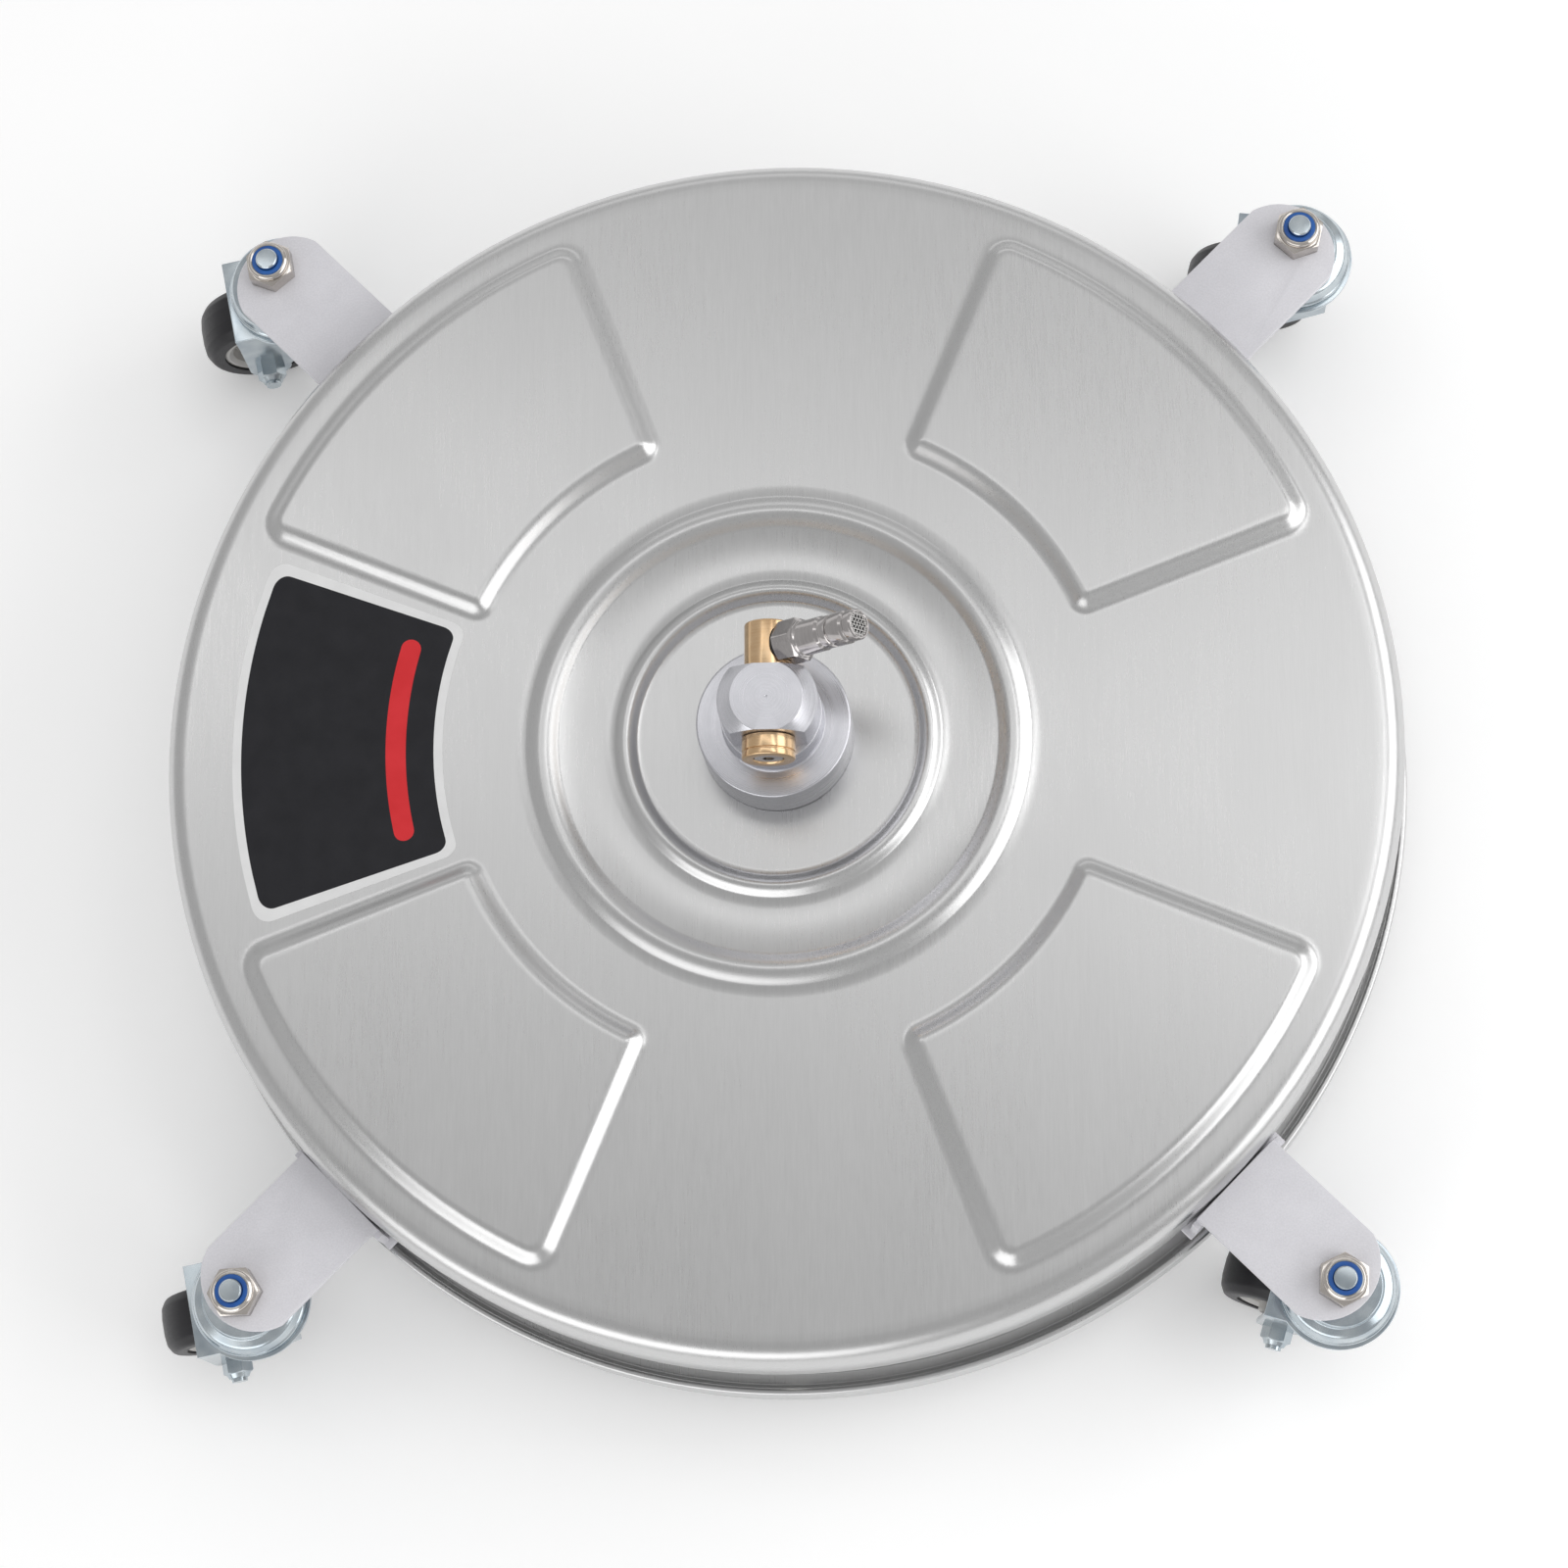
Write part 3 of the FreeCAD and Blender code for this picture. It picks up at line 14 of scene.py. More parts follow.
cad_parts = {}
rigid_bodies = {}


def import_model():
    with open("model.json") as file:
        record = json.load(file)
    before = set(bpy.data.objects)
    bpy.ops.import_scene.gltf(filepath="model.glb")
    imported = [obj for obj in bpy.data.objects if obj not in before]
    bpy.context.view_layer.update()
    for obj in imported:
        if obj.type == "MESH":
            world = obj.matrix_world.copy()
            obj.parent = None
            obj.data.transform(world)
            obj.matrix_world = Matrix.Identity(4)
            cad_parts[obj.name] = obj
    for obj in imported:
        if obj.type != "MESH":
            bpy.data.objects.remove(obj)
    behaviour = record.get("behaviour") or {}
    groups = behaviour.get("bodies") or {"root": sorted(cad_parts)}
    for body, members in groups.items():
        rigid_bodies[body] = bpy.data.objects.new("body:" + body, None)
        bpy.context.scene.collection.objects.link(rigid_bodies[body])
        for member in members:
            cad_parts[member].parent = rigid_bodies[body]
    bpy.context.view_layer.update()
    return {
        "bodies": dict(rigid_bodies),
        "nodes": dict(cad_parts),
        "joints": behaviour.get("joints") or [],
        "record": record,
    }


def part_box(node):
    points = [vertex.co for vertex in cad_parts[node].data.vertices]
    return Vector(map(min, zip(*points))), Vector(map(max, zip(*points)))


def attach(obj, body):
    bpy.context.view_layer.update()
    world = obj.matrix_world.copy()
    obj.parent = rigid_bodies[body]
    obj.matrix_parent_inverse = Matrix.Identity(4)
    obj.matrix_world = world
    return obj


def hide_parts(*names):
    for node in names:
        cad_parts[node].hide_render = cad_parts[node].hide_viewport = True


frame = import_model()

MM = 0.001

# %% [markdown]
# Every size below comes from the frame.  A node's box gives its reach; joints give the axes.
# Working in millimetres keeps the numbers close to a workshop drawing.
# %% Sizes read from the frame


def low(node, axis):
    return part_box(node)[0][axis] / MM


def high(node, axis):
    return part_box(node)[1][axis] / MM


JOINTS = {joint["name"]: joint for joint in frame["joints"]}
CORNERS = [name[len("caster_"):] for name in frame["bodies"] if name.startswith("caster_")]
PAN_RADIUS = high("upper_housing", 0)
SKIRT_LOW = low("upper_housing", 2)
DECK = low("deck_gasket", 2)
BASE_RADIUS = high("swivel_body", 0)
HEAD_TOP = high("swivel_body", 2)
PIVOT = JOINTS["inlet_swivel"]["pos_m"][2] / MM
LEG_TOP = high("leg_rear_right", 2)
STEM_PLACES = {name: Vector(JOINTS["caster_swivel_" + name]["pos_m"]) for name in CORNERS}
print("pan radius", PAN_RADIUS, "deck", DECK, "skirt foot", SKIRT_LOW, "leg top", LEG_TOP)
print("corners", CORNERS)

# %% [markdown]
# ## Small tools
# A handful of helpers carries the whole lesson.  Each one wraps the operators that a modeller
# would use by hand: spin a profile, cut one shape from another, bevel sharp edges, put a
# finished piece in place.
# %% Selecting and applying
MERGE = 1e-6            # metres; points nearer than this are one point


def only(piece):
    """Select one object and nothing else, and make it active."""
    bpy.ops.object.select_all(action="DESELECT")
    piece.select_set(True)
    bpy.context.view_layer.objects.active = piece
    return piece


def apply_modifier(piece, kind, **settings):
    only(piece)
    modifier = piece.modifiers.new(kind.title(), kind)
    for name, value in settings.items():
        setattr(modifier, name, value)
    bpy.ops.object.modifier_apply(modifier=modifier.name)
    return piece


def apply_place(piece, matrix):
    """Put a piece in place and leave its object at the origin, unturned and unscaled."""
    only(piece)
    piece.matrix_world = matrix
    bpy.ops.object.transform_apply(location=True, rotation=True, scale=True)
    return piece


def copy_at(piece, name, matrix):
    """A separate copy of a pattern piece, put in place."""
    double = piece.copy()
    double.data = piece.data.copy()
    double.name = name
    bpy.context.scene.collection.objects.link(double)
    return apply_place(double, matrix)


def joined(pieces, name):
    bpy.ops.object.select_all(action="DESELECT")
    for piece in pieces:
        piece.select_set(True)
    bpy.context.view_layer.objects.active = pieces[0]
    if len(pieces) > 1:
        bpy.ops.object.join()
    whole = bpy.context.object
    whole.name = name
    return whole


def smooth(piece, degrees=32):
    only(piece)
    bpy.ops.object.shade_smooth_by_angle(angle=math.radians(degrees))
    return piece


def soften(piece, width, segments, degrees):
    """Break sharp edges, as a tumbler or a file does."""
    return apply_modifier(piece, "BEVEL", width=width * MM, segments=segments, limit_method="ANGLE",
                          angle_limit=math.radians(degrees), harden_normals=False,
                          use_clamp_overlap=True)


def combined(piece, tool, operation="DIFFERENCE"):
    """Cut, join or intersect with another closed shape, which is used up."""
    apply_modifier(piece, "BOOLEAN", operation=operation, object=tool, solver="EXACT")
    bpy.data.objects.remove(tool)
    return piece


def discard(*patterns):
    """Remove pattern pieces once their copies are in place."""
    for pattern in patterns:
        bpy.data.objects.remove(pattern)


# %% [markdown]
# ### Outlines, lathe and bars
# A turned or rolled part is drawn as half of its section and spun.  Such parts have hardly a
# sharp corner, so an outline lists its corners with a radius each, and the arcs are worked out
# from those.  Plain bars, blocks and hexagons are the tools that cut or complete the rest.
# %% Outlines with rounded corners
EDGE_SHARE = 0.49       # a corner's arc takes at most this much of either edge


def rounded(points, steps):
    """Closed outline from (r, z, corner radius) points, each corner drawn as an arc."""
    outline = []
    count = len(points)
    for index, (r, z, radius) in enumerate(points):
        here = Vector((r, z))
        if radius <= 0:
            outline.append(here)
            continue
        back = Vector(points[index - 1][:2]) - here
        ahead = Vector(points[(index + 1) % count][:2]) - here
        half = back.angle(ahead) / 2
        reach = min(radius / math.tan(half), EDGE_SHARE * back.length, EDGE_SHARE * ahead.length)
        true_radius = reach * math.tan(half)
        inward = (back.normalized() + ahead.normalized()).normalized()
        centre = here + inward * true_radius / math.sin(half)
        start = here + back.normalized() * reach - centre
        end = here + ahead.normalized() * reach - centre
        sweep = start.angle(end)
        turn = 1 if start.x * end.y - start.y * end.x > 0 else -1
        for step in range(steps + 1):
            outline.append(centre + Matrix.Rotation(turn * sweep * step / steps, 2) @ start)
    return outline


def drawn(name, points, fill="NOTHING"):
    """Draw a closed loop through points in millimetres, and leave it selected in edit mode."""
    bpy.ops.object.select_all(action="DESELECT")
    bpy.ops.mesh.primitive_circle_add(vertices=len(points), fill_type=fill)
    piece = bpy.context.object
    piece.name = name
    for vertex, point in zip(piece.data.vertices, points):
        vertex.co = Vector(point) * MM
    bpy.ops.object.mode_set(mode="EDIT")
    bpy.ops.mesh.select_all(action="SELECT")
    return piece


def lathe(name, outline, steps=96):
    """Spin a closed outline of (radius, height) points round the Z axis."""
    piece = drawn(name, [(r, 0, z) for r, z in outline])
    bpy.ops.mesh.spin(steps=steps, angle=2 * math.pi, center=(0, 0, 0), axis=(0, 0, 1))
    tidy_mesh()
    bpy.ops.object.mode_set(mode="OBJECT")
    return piece


def tidy_mesh():
    """In edit mode: merge what coincides and turn every face outwards."""
    bpy.ops.mesh.select_all(action="SELECT")
    bpy.ops.mesh.remove_doubles(threshold=MERGE)
    bpy.ops.mesh.dissolve_degenerate(threshold=MERGE)
    bpy.ops.mesh.select_all(action="SELECT")
    bpy.ops.mesh.normals_make_consistent(inside=False)


def bar(name, radius, bottom, top, sides=64):
    """Round bar on the Z axis; with six sides, a hexagon bar whose flats face +Y and -Y."""
    bpy.ops.object.select_all(action="DESELECT")
    turn = math.radians(30) if sides == 6 else 0
    bpy.ops.mesh.primitive_cylinder_add(
        vertices=sides, radius=radius * MM, depth=(top - bottom) * MM,
        location=(0, 0, (top + bottom) / 2 * MM), rotation=(0, 0, turn))
    piece = bpy.context.object
    piece.name = name
    bpy.ops.object.transform_apply(location=True, rotation=True, scale=True)
    return piece


def block(name, corner, size):
    """Box from its lowest corner and its size."""
    bpy.ops.object.select_all(action="DESELECT")
    middle = [(c + s / 2) * MM for c, s in zip(corner, size)]
    bpy.ops.mesh.primitive_cube_add(size=1, location=middle, scale=[s * MM for s in size])
    piece = bpy.context.object
    piece.name = name
    bpy.ops.object.transform_apply(location=True, rotation=True, scale=True)
    return piece


def hexagon(name, flats, bottom, top, chamfer_bottom=False):
    """Hexagon bar with its corners turned down to a cone at the ends, as on a nut."""
    land, past = 0.35, 0.5              # the cone starts inside the flats and runs past the corners
    corner = flats / math.sqrt(3)
    inner = flats / 2 - land
    outer = corner + past
    fall = (outer - inner) * math.tan(math.radians(30))
    outline = [(0, bottom)]
    outline += [(inner, bottom), (outer, bottom + fall)] if chamfer_bottom else [(outer, bottom)]
    outline += [(outer, top - fall), (inner, top), (0, top)]
    prism = bar(name, corner, bottom - 0.01, top + 0.01, sides=6)
    prism = soften(prism, width=0.25, segments=2, degrees=50)
    return combined(prism, lathe(name + "_turning", outline, 72), "INTERSECT")


def cad_copy(node, name, width, segments, degrees):
    """A node's own shape as one closed mesh with its sharp edges broken."""
    piece = frame["nodes"][node].copy()
    piece.data = piece.data.copy()
    for key in [key for key in piece.keys() if key.startswith("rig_")]:
        del piece[key]
    piece.parent = None
    piece.name = name
    bpy.context.scene.collection.objects.link(piece)
    only(piece)
    bpy.ops.object.mode_set(mode="EDIT")
    bpy.ops.mesh.select_all(action="SELECT")
    bpy.ops.mesh.remove_doubles(threshold=MERGE)
    bpy.ops.mesh.dissolve_limited(angle_limit=math.radians(1.5))
    bpy.ops.mesh.select_all(action="SELECT")
    bpy.ops.mesh.normals_make_consistent(inside=False)
    bpy.ops.object.mode_set(mode="OBJECT")
    bpy.ops.mesh.customdata_custom_splitnormals_clear()
    return soften(piece, width, segments, degrees)


# %% [markdown]
# ## Finishes
# Each finish starts from what the real one is.  Colours are written as sRGB hex, one function
# turns them to linear light, and one small function adds a node with its settings and links.
# Patterns read Object coordinates, so their scale is in metres: a grain 0.4 mm across needs
# 1 / 0.0004 repeats to the metre.
# %% Colour and node helpers
NOISE_LOW, NOISE_HIGH = 0.3, 0.7        # a noise seldom leaves this range


def linear(hexadecimal):
    """sRGB hex to linear red, green, blue and alpha."""
    values = []
    for start in (0, 2, 4):
        level = int(hexadecimal[start:start + 2], 16) / 255
        values.append(level / 12.92 if level <= 0.04045 else ((level + 0.055) / 1.055) ** 2.4)
    return (*values, 1.0)


def add_node(tree, kind, settings=None, inputs=None):
    """Add a node, set its properties, and set or link its inputs."""
    node = tree.nodes.new(kind)
    for name, value in (settings or {}).items():
        setattr(node, name, value)
    for name, value in (inputs or {}).items():
        if isinstance(value, bpy.types.NodeSocket):
            tree.links.new(value, node.inputs[name])
        else:
            node.inputs[name].default_value = value
    return node


def new_finish(name, **values):
    """A material with one Principled shader, whose uniform values sit on its own sockets."""
    material = bpy.data.materials.new(name)
    material.use_nodes = True
    tree = material.node_tree
    shader = tree.nodes["Principled BSDF"]
    for key, value in values.items():
        shader.inputs[key.replace("_", " ")].default_value = value
    place = add_node(tree, "ShaderNodeTexCoord").outputs["Object"]
    return material, tree, shader, place


def per_mm(size):
    """Repeats to the metre of a feature that is `size` millimetres across."""
    return 1.0 / (size * MM)


def maths(tree, operation, *values):
    """Result of one step of arithmetic on numbers or sockets."""
    node = add_node(tree, "ShaderNodeMath", {"operation": operation}, dict(enumerate(values)))
    return node.outputs[0]


def vector_maths(tree, operation, *values):
    return add_node(tree, "ShaderNodeVectorMath", {"operation": operation},
                    dict(enumerate(values)))


def mixture(tree, first, second, share):
    """Two patterns in one, `share` of it the second."""
    return add_node(tree, "ShaderNodeMix", {"data_type": "FLOAT"},
                    {"Factor": share, 2: first, 3: second}).outputs[0]


def grain(tree, place, size, detail=2.0, rough=0.5):
    """Noise whose features are size = (x, y, z) millimetres."""
    scaled = add_node(tree, "ShaderNodeMapping", {},
                      {"Vector": place, "Scale": [per_mm(s) for s in size]})
    noise = add_node(tree, "ShaderNodeTexNoise", {},
                     {"Vector": scaled.outputs["Vector"], "Scale": 1.0, "Detail": detail,
                      "Roughness": rough})
    return noise.outputs["Fac"]


def spread(tree, value, low_end, high_end, start=NOISE_LOW, stop=NOISE_HIGH):
    """Map a pattern from its own range to a narrow one."""
    node = add_node(tree, "ShaderNodeMapRange", {},
                    {"Value": value, "From Min": start, "From Max": stop,
                     "To Min": low_end, "To Max": high_end})
    return node.outputs["Result"]


def tint(tree, shader, pattern, first, second):
    """Base colour that runs from one hex colour to another with a pattern."""
    ramp = add_node(tree, "ShaderNodeValToRGB", {}, {"Fac": pattern})
    ramp.color_ramp.elements[0].color = linear(first)
    ramp.color_ramp.elements[0].position = NOISE_LOW
    ramp.color_ramp.elements[1].color = linear(second)
    ramp.color_ramp.elements[1].position = NOISE_HIGH
    tree.links.new(ramp.outputs["Color"], shader.inputs["Base Color"])


def relief(tree, shader, pattern, depth, strength):
    """Bump whose full height is `depth` millimetres."""
    bump = add_node(tree, "ShaderNodeBump", {},
                    {"Height": pattern, "Distance": depth * MM, "Strength": strength})
    tree.links.new(bump.outputs["Normal"], shader.inputs["Normal"])


def turned_place(tree, place, centre, axis):
    """Coordinates of a turned part: distance from its axis, and place along it."""
    shifted = vector_maths(tree, "SUBTRACT", place, centre).outputs[0]
    along = vector_maths(tree, "DOT_PRODUCT", shifted, axis).outputs["Value"]
    across = vector_maths(tree, "CROSS_PRODUCT", shifted, axis).outputs[0]
    radius = vector_maths(tree, "LENGTH", across).outputs["Value"]
    return add_node(tree, "ShaderNodeCombineXYZ", {}, {"X": radius, "Y": along}).outputs["Vector"]


# %% [markdown]
# ### Brushed stainless sheet
# Cold-rolled 304 sheet with a No. 4 finish: a belt has left fine straight scratches along the
# sheet, so the grain runs front to back over the whole pan, pressed or not.  The scratches are
# about 0.1 mm wide in life; here they are drawn 0.4 mm wide so that they still show.
# %% Brushed stainless


def brushed_stainless():
    material, tree, shader, place = new_finish("stainless_sheet_no4_brushed", Metallic=1.0)
    fine = grain(tree, place, (0.4, 9.0, 0.4), rough=0.6)
    broad = grain(tree, place, (1.8, 40.0, 1.8))
    cloud = grain(tree, place, (60.0, 90.0, 60.0))
    tint(tree, shader, mixture(tree, fine, broad, 0.3), "C9C9C9", "CFCFCF")
    roughness = maths(tree, "ADD", spread(tree, fine, 0.25, 0.31), spread(tree, cloud, 0.0, 0.04))
    tree.links.new(roughness, shader.inputs["Roughness"])
    relief(tree, shader, fine, depth=0.02, strength=0.4)
    return material


# %% [markdown]
# ### Grey painted steel
# The legs wear a silver-grey powder coat with a sandy tooth: a dielectric film over steel, so
# no metallic reflection, only a soft sheen broken by grains about 0.7 mm across.
# %% Powder coat


def powder_coat():
    material, tree, shader, place = new_finish("grey_powder_coat_fine_sand", Metallic=0.0)
    sand = grain(tree, place, (0.7, 0.7, 0.7), rough=0.6)
    cloud = grain(tree, place, (9.0, 9.0, 9.0))
    tint(tree, shader, mixture(tree, sand, cloud, 0.3), "D6D5DA", "E3E2E7")
    tree.links.new(spread(tree, sand, 0.42, 0.6), shader.inputs["Roughness"])
    relief(tree, shader, sand, depth=0.05, strength=0.5)
    return material


# %% [markdown]
# ### Turned metals
# Aluminium, brass and stainless parts off a lathe share one look: very fine rings round the
# part's own axis.  Measuring the distance from that axis and feeding it to a noise draws the
# tool marks on end faces and flanks alike.
# %% Turned metals


def turned_metal(name, dark, light, roughness, centre, axis, pitch=0.35, depth=0.004):
    material, tree, shader, place = new_finish(name, Metallic=1.0)
    rings = turned_place(tree, place, centre, axis)
    marks = grain(tree, rings, (pitch, pitch, pitch), rough=0.7)
    cloud = grain(tree, place, (6.0, 6.0, 6.0))
    tint(tree, shader, mixture(tree, marks, cloud, 0.5), dark, light)
    tree.links.new(spread(tree, marks, roughness - 0.04, roughness + 0.06),
                   shader.inputs["Roughness"])
    relief(tree, shader, marks, depth, strength=0.6)
    return material


# %% [markdown]
# ### Zinc plate
# Bright zinc with a clear passivate on pressed steel: cool white-blue, glossy, with the faint
# cloudiness of the plating bath.
# %% Zinc plate and polished fasteners


def plated(name, dark, light, roughness):
    material, tree, shader, place = new_finish(name, Metallic=1.0)
    cloud = grain(tree, place, (9.0, 9.0, 9.0))
    fine = grain(tree, place, (0.8, 0.8, 0.8), detail=1.0)
    tint(tree, shader, cloud, dark, light)
    tree.links.new(spread(tree, cloud, roughness - 0.03, roughness + 0.04),
                   shader.inputs["Roughness"])
    relief(tree, shader, fine, depth=0.002, strength=0.3)
    return material


# %% [markdown]
# ### Plastics and rubber
# Nylon, polypropylene, polyurethane and label film are all dielectrics.  They differ in how
# rough the mould or the cast left them.
# %% Plastics


def moulded(name, dark, light, roughness, tooth, depth, gloss=0.5):
    """Plastic whose mould left a tooth of `tooth` millimetres; its cloudiness is far broader."""
    material, tree, shader, place = new_finish(name, Metallic=0.0, Specular_IOR_Level=gloss)
    fine = grain(tree, place, (tooth,) * 3, detail=3.0, rough=0.6)
    cloud = grain(tree, place, (tooth * 14,) * 3)
    tint(tree, shader, cloud, dark, light)
    tree.links.new(spread(tree, fine, roughness - 0.06, roughness + 0.06),
                   shader.inputs["Roughness"])
    relief(tree, shader, fine, depth, strength=0.5)
    return material


# %% [markdown]
# ### Wire gauze
# The strainer in the plug's mouth is woven from stainless wire.  Two sine waves at right angles
# across the plug's axis, the larger taken at each point, give wires; the holes between are
# near-black painted shade.
# %% Wire mesh
GAUZE_PITCH = 0.8
plug_axis = Vector(frame["record"]["mounts"][0]["axis"])
plug_centre = Vector(frame["record"]["mounts"][0]["pos_m"])


def wire_mesh():
    material, tree, shader, place = new_finish("stainless_wire_gauze", Metallic=1.0, Roughness=0.3)
    across = plug_axis.cross(Vector((0, 0, 1))).normalized()
    wires = []
    for direction in (across, plug_axis.cross(across)):
        along = vector_maths(tree, "DOT_PRODUCT", place, direction).outputs["Value"]
        turns = maths(tree, "MULTIPLY", along, 2 * math.pi * per_mm(GAUZE_PITCH))
        wires.append(maths(tree, "SINE", turns))
    weave = maths(tree, "MAXIMUM", *wires)
    # the dark end of the weave is painted shade: the holes are coloured near-black on the wire
    # surface
    tint(tree, shader, spread(tree, weave, 0.0, 1.0, -0.4, 0.5), "1A1A1A", "C8C6C4")
    relief(tree, shader, weave, depth=0.15, strength=0.8)
    return material


# %% [markdown]
# ### The finishes of this object
# One dictionary holds every finish by a short name, so that a colour is changed in one place.
# A turned finish is told the axis that its own part was turned on.
# %% The finishes of this object
ORIGIN, UPRIGHT = Vector(), Vector((0, 0, 1))
CROSSWISE, SIDEWAYS = Vector((0, 1, 0)), Vector((1, 0, 0))
pivot_centre = Vector((0, 0, PIVOT * MM))
FINISH = {
    "sheet": brushed_stainless(),
    "coat": powder_coat(),
    "aluminium": turned_metal("aluminium_turned_satin", "C6C6CB", "D0D0D5", 0.28,
                              ORIGIN, UPRIGHT, 0.4, 0.0007),
    "brass": turned_metal("brass_turned_bright", "D0AC82", "E6C8A2", 0.2,
                          pivot_centre, CROSSWISE, 0.5, 0.001),
    "plug": turned_metal("stainless_plug_turned", "ABA7A6", "BFBBBA", 0.1,
                         plug_centre, plug_axis, 0.6, 0.0002),
    "mesh": wire_mesh(),
    "shaft": turned_metal("stainless_shaft_ground", "B9B7B4", "CBC9C6", 0.28, ORIGIN, UPRIGHT),
    "tubing": turned_metal("stainless_tube_drawn", "B9B7B4", "D0CECB", 0.25,
                           pivot_centre, SIDEWAYS),
    "nut": plated("stainless_nut_polished", "C2BCB6", "D6D0CA", 0.14),
    "zinc": plated("bright_zinc_plate", "ABB6BE", "C8D0D4", 0.2),
    "bearing": plated("bearing_steel_ground", "B0B0B2", "C8C8CA", 0.2),
    "nylon": moulded("blue_nylon_insert", "144C98", "1F60AE", 0.36, 0.5, 0.005),
    "hub": moulded("grey_polypropylene_hub", "BCBAB7", "CDCBC8", 0.5, 0.7, 0.02),
    "tyre": moulded("black_polyurethane_tyre", "141318", "1C1B20", 0.42, 0.8, 0.02),
    "rubber": moulded("black_nitrile_rubber", "151515", "222222", 0.62, 0.6, 0.02),
    "field": moulded("label_film_black", "1F1F23", "252529", 0.55, 0.7, 0.003, 0.25),
    "border": moulded("label_film_white", "E2E2E2", "E8E8E8", 0.5, 0.7, 0.003, 0.25),
    "band": moulded("label_ink_red", "D22B30", "DA3238", 0.5, 0.7, 0.003, 0.25),
}
print("finishes", len(FINISH))


# %% [markdown]
# ### Handing a piece over
# Every finished piece gets the same four things, so one function gives them: its material, the
# body it moves with, the nodes it stands for, and a printed line.  Nodes whose shape is right
# only change their material.
# %% Handing a piece over


def hand_over(piece, finish, body, slot, *nodes):
    """Give a finished piece its material, its body and the nodes it stands for; the slot is not
    used.
    """
    piece.data.materials.clear()
    piece.data.materials.append(FINISH[finish])
    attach(piece, body)
    if nodes:
        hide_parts(*nodes)
    print(piece.name, len(piece.data.polygons), "faces")


def dress(finish, *nodes):
    """Give nodes that keep their own shape a better finish."""
    for node in nodes:
        mesh = frame["nodes"][node].data
        mesh.materials.clear()
        mesh.materials.append(FINISH[finish])
    print(finish, "on", ", ".join(nodes))


# %% [markdown]
# ## The pan
# The pan is pressed from one sheet: a flat deck with two rolled beads round the swivel, four
# fan-shaped pads, a rounded rim and a skirt.  Its section is the same all round apart from the
# pads, so the section is drawn once and spun in small steps, closer together where a pad's
# flanks will rise.  The pads are then raised by lifting vertices with a smooth step, because a
# press rolls a sheet over its edges and never leaves a crease.
# %% The pan's section
SHEET = 1.5
RIM_ROUND = 9.0
HOLE = 19.3
BEADS = ((52.0, 61.0, 2.8), (81.0, 94.0, 3.0))
LIP_INNER = 213.0
PAD_INNER, PAD_OUTER, PAD_HALF_ANGLE = 118.5, 215.0, math.radians(23.2)
PAD_INNER_CORNER, PAD_OUTER_CORNER = 7.0, 11.0
PAD_SLOPE, PAD_HEIGHT = 7.5, 4.0
BEAD_STEPS, FLANK_STEP, FLANK_STEPS = 14, 1.1, 16
PRESS_TURN = math.radians(-0.9)         # the pressed pattern sits a touch off the legs
# a quarter turn in (degrees, steps): fine over the two flanks of a pad, coarse elsewhere
QUARTER_TURN = ((20.5, 9), (12.0, 26), (25.0, 9), (12.0, 26), (20.5, 9))
LEG_ANGLES = [math.atan2(place.y, place.x) for place in STEM_PLACES.values()]


def bead_height(r):
    """Height of the rolled beads above the deck: steep flanks and a broad rounded crest."""
    for inner, outer, height in BEADS:
        if inner <= r <= outer:
            across = (r - inner) / (outer - inner)
            return height * math.sin(math.pi * across) ** 1.2
    return 0.0


def deck_stations():
    """Radii along the deck, close together at the beads and at the pads' inner and outer flanks."""
    stations = [HOLE, 28.0, 36.0, 44.0, 50.0]
    for inner, outer, _ in BEADS:
        stations += [inner + (outer - inner) * n / BEAD_STEPS for n in range(BEAD_STEPS + 1)]
        stations += [outer + 4.0] if outer < 80 else [98.0, 104.0, 110.0]
    stations += [PAD_INNER - 1 + FLANK_STEP * n for n in range(FLANK_STEPS)]
    stations += [140.0 + 7.5 * n for n in range(8)]
    stations += [PAD_OUTER - 15 + FLANK_STEP * n for n in range(FLANK_STEPS)]
    stations += [218.0, PAN_RADIUS - RIM_ROUND]
    return sorted(set(round(s, 3) for s in stations))


def rim_arc(radius):
    """Quarter circle from the deck round to the skirt."""
    steps = 10
    centre_r, centre_z = PAN_RADIUS - RIM_ROUND, DECK - RIM_ROUND
    angles = [math.pi / 2 * n / steps for n in range(steps + 1)]
    return [(centre_r + radius * math.sin(a), centre_z + radius * math.cos(a)) for a in angles]


def pan_outline():
    """Section of the pan: deck, rim, skirt with its hem, inward lip, and back underneath."""
    top = [(r, DECK + bead_height(r)) for r in deck_stations()[:-1]]
    top += rim_arc(RIM_ROUND)
    hem = 3.5
    foot = [(PAN_RADIUS, SKIRT_LOW + 14.0), (PAN_RADIUS, SKIRT_LOW + hem + 1.4),
            (PAN_RADIUS - 0.35, SKIRT_LOW + hem + 0.7), (PAN_RADIUS - 0.35, SKIRT_LOW + hem),
            (PAN_RADIUS, SKIRT_LOW + hem - 0.7), (PAN_RADIUS, SKIRT_LOW + 1.4),
            (PAN_RADIUS - 0.4, SKIRT_LOW + 0.4), (PAN_RADIUS - 1.4, SKIRT_LOW)]
    lip = [(LIP_INNER, SKIRT_LOW), (LIP_INNER, SKIRT_LOW + SHEET),
           (PAN_RADIUS - SHEET - 1, SKIRT_LOW + SHEET), (PAN_RADIUS - SHEET, SKIRT_LOW + SHEET + 1)]
    under = list(reversed(rim_arc(RIM_ROUND - SHEET)))
    under += [(r, DECK - SHEET + bead_height(r)) for r in reversed(deck_stations()[:-1])]
    return top + foot + lip + under


# %% [markdown]
# ### Spinning and pressing
# The section is spun once round in unequal steps, and then the four pads are pressed up: a
# point's height depends on how far it lies inside the nearest pad's rounded outline.
# %% Spinning the pan


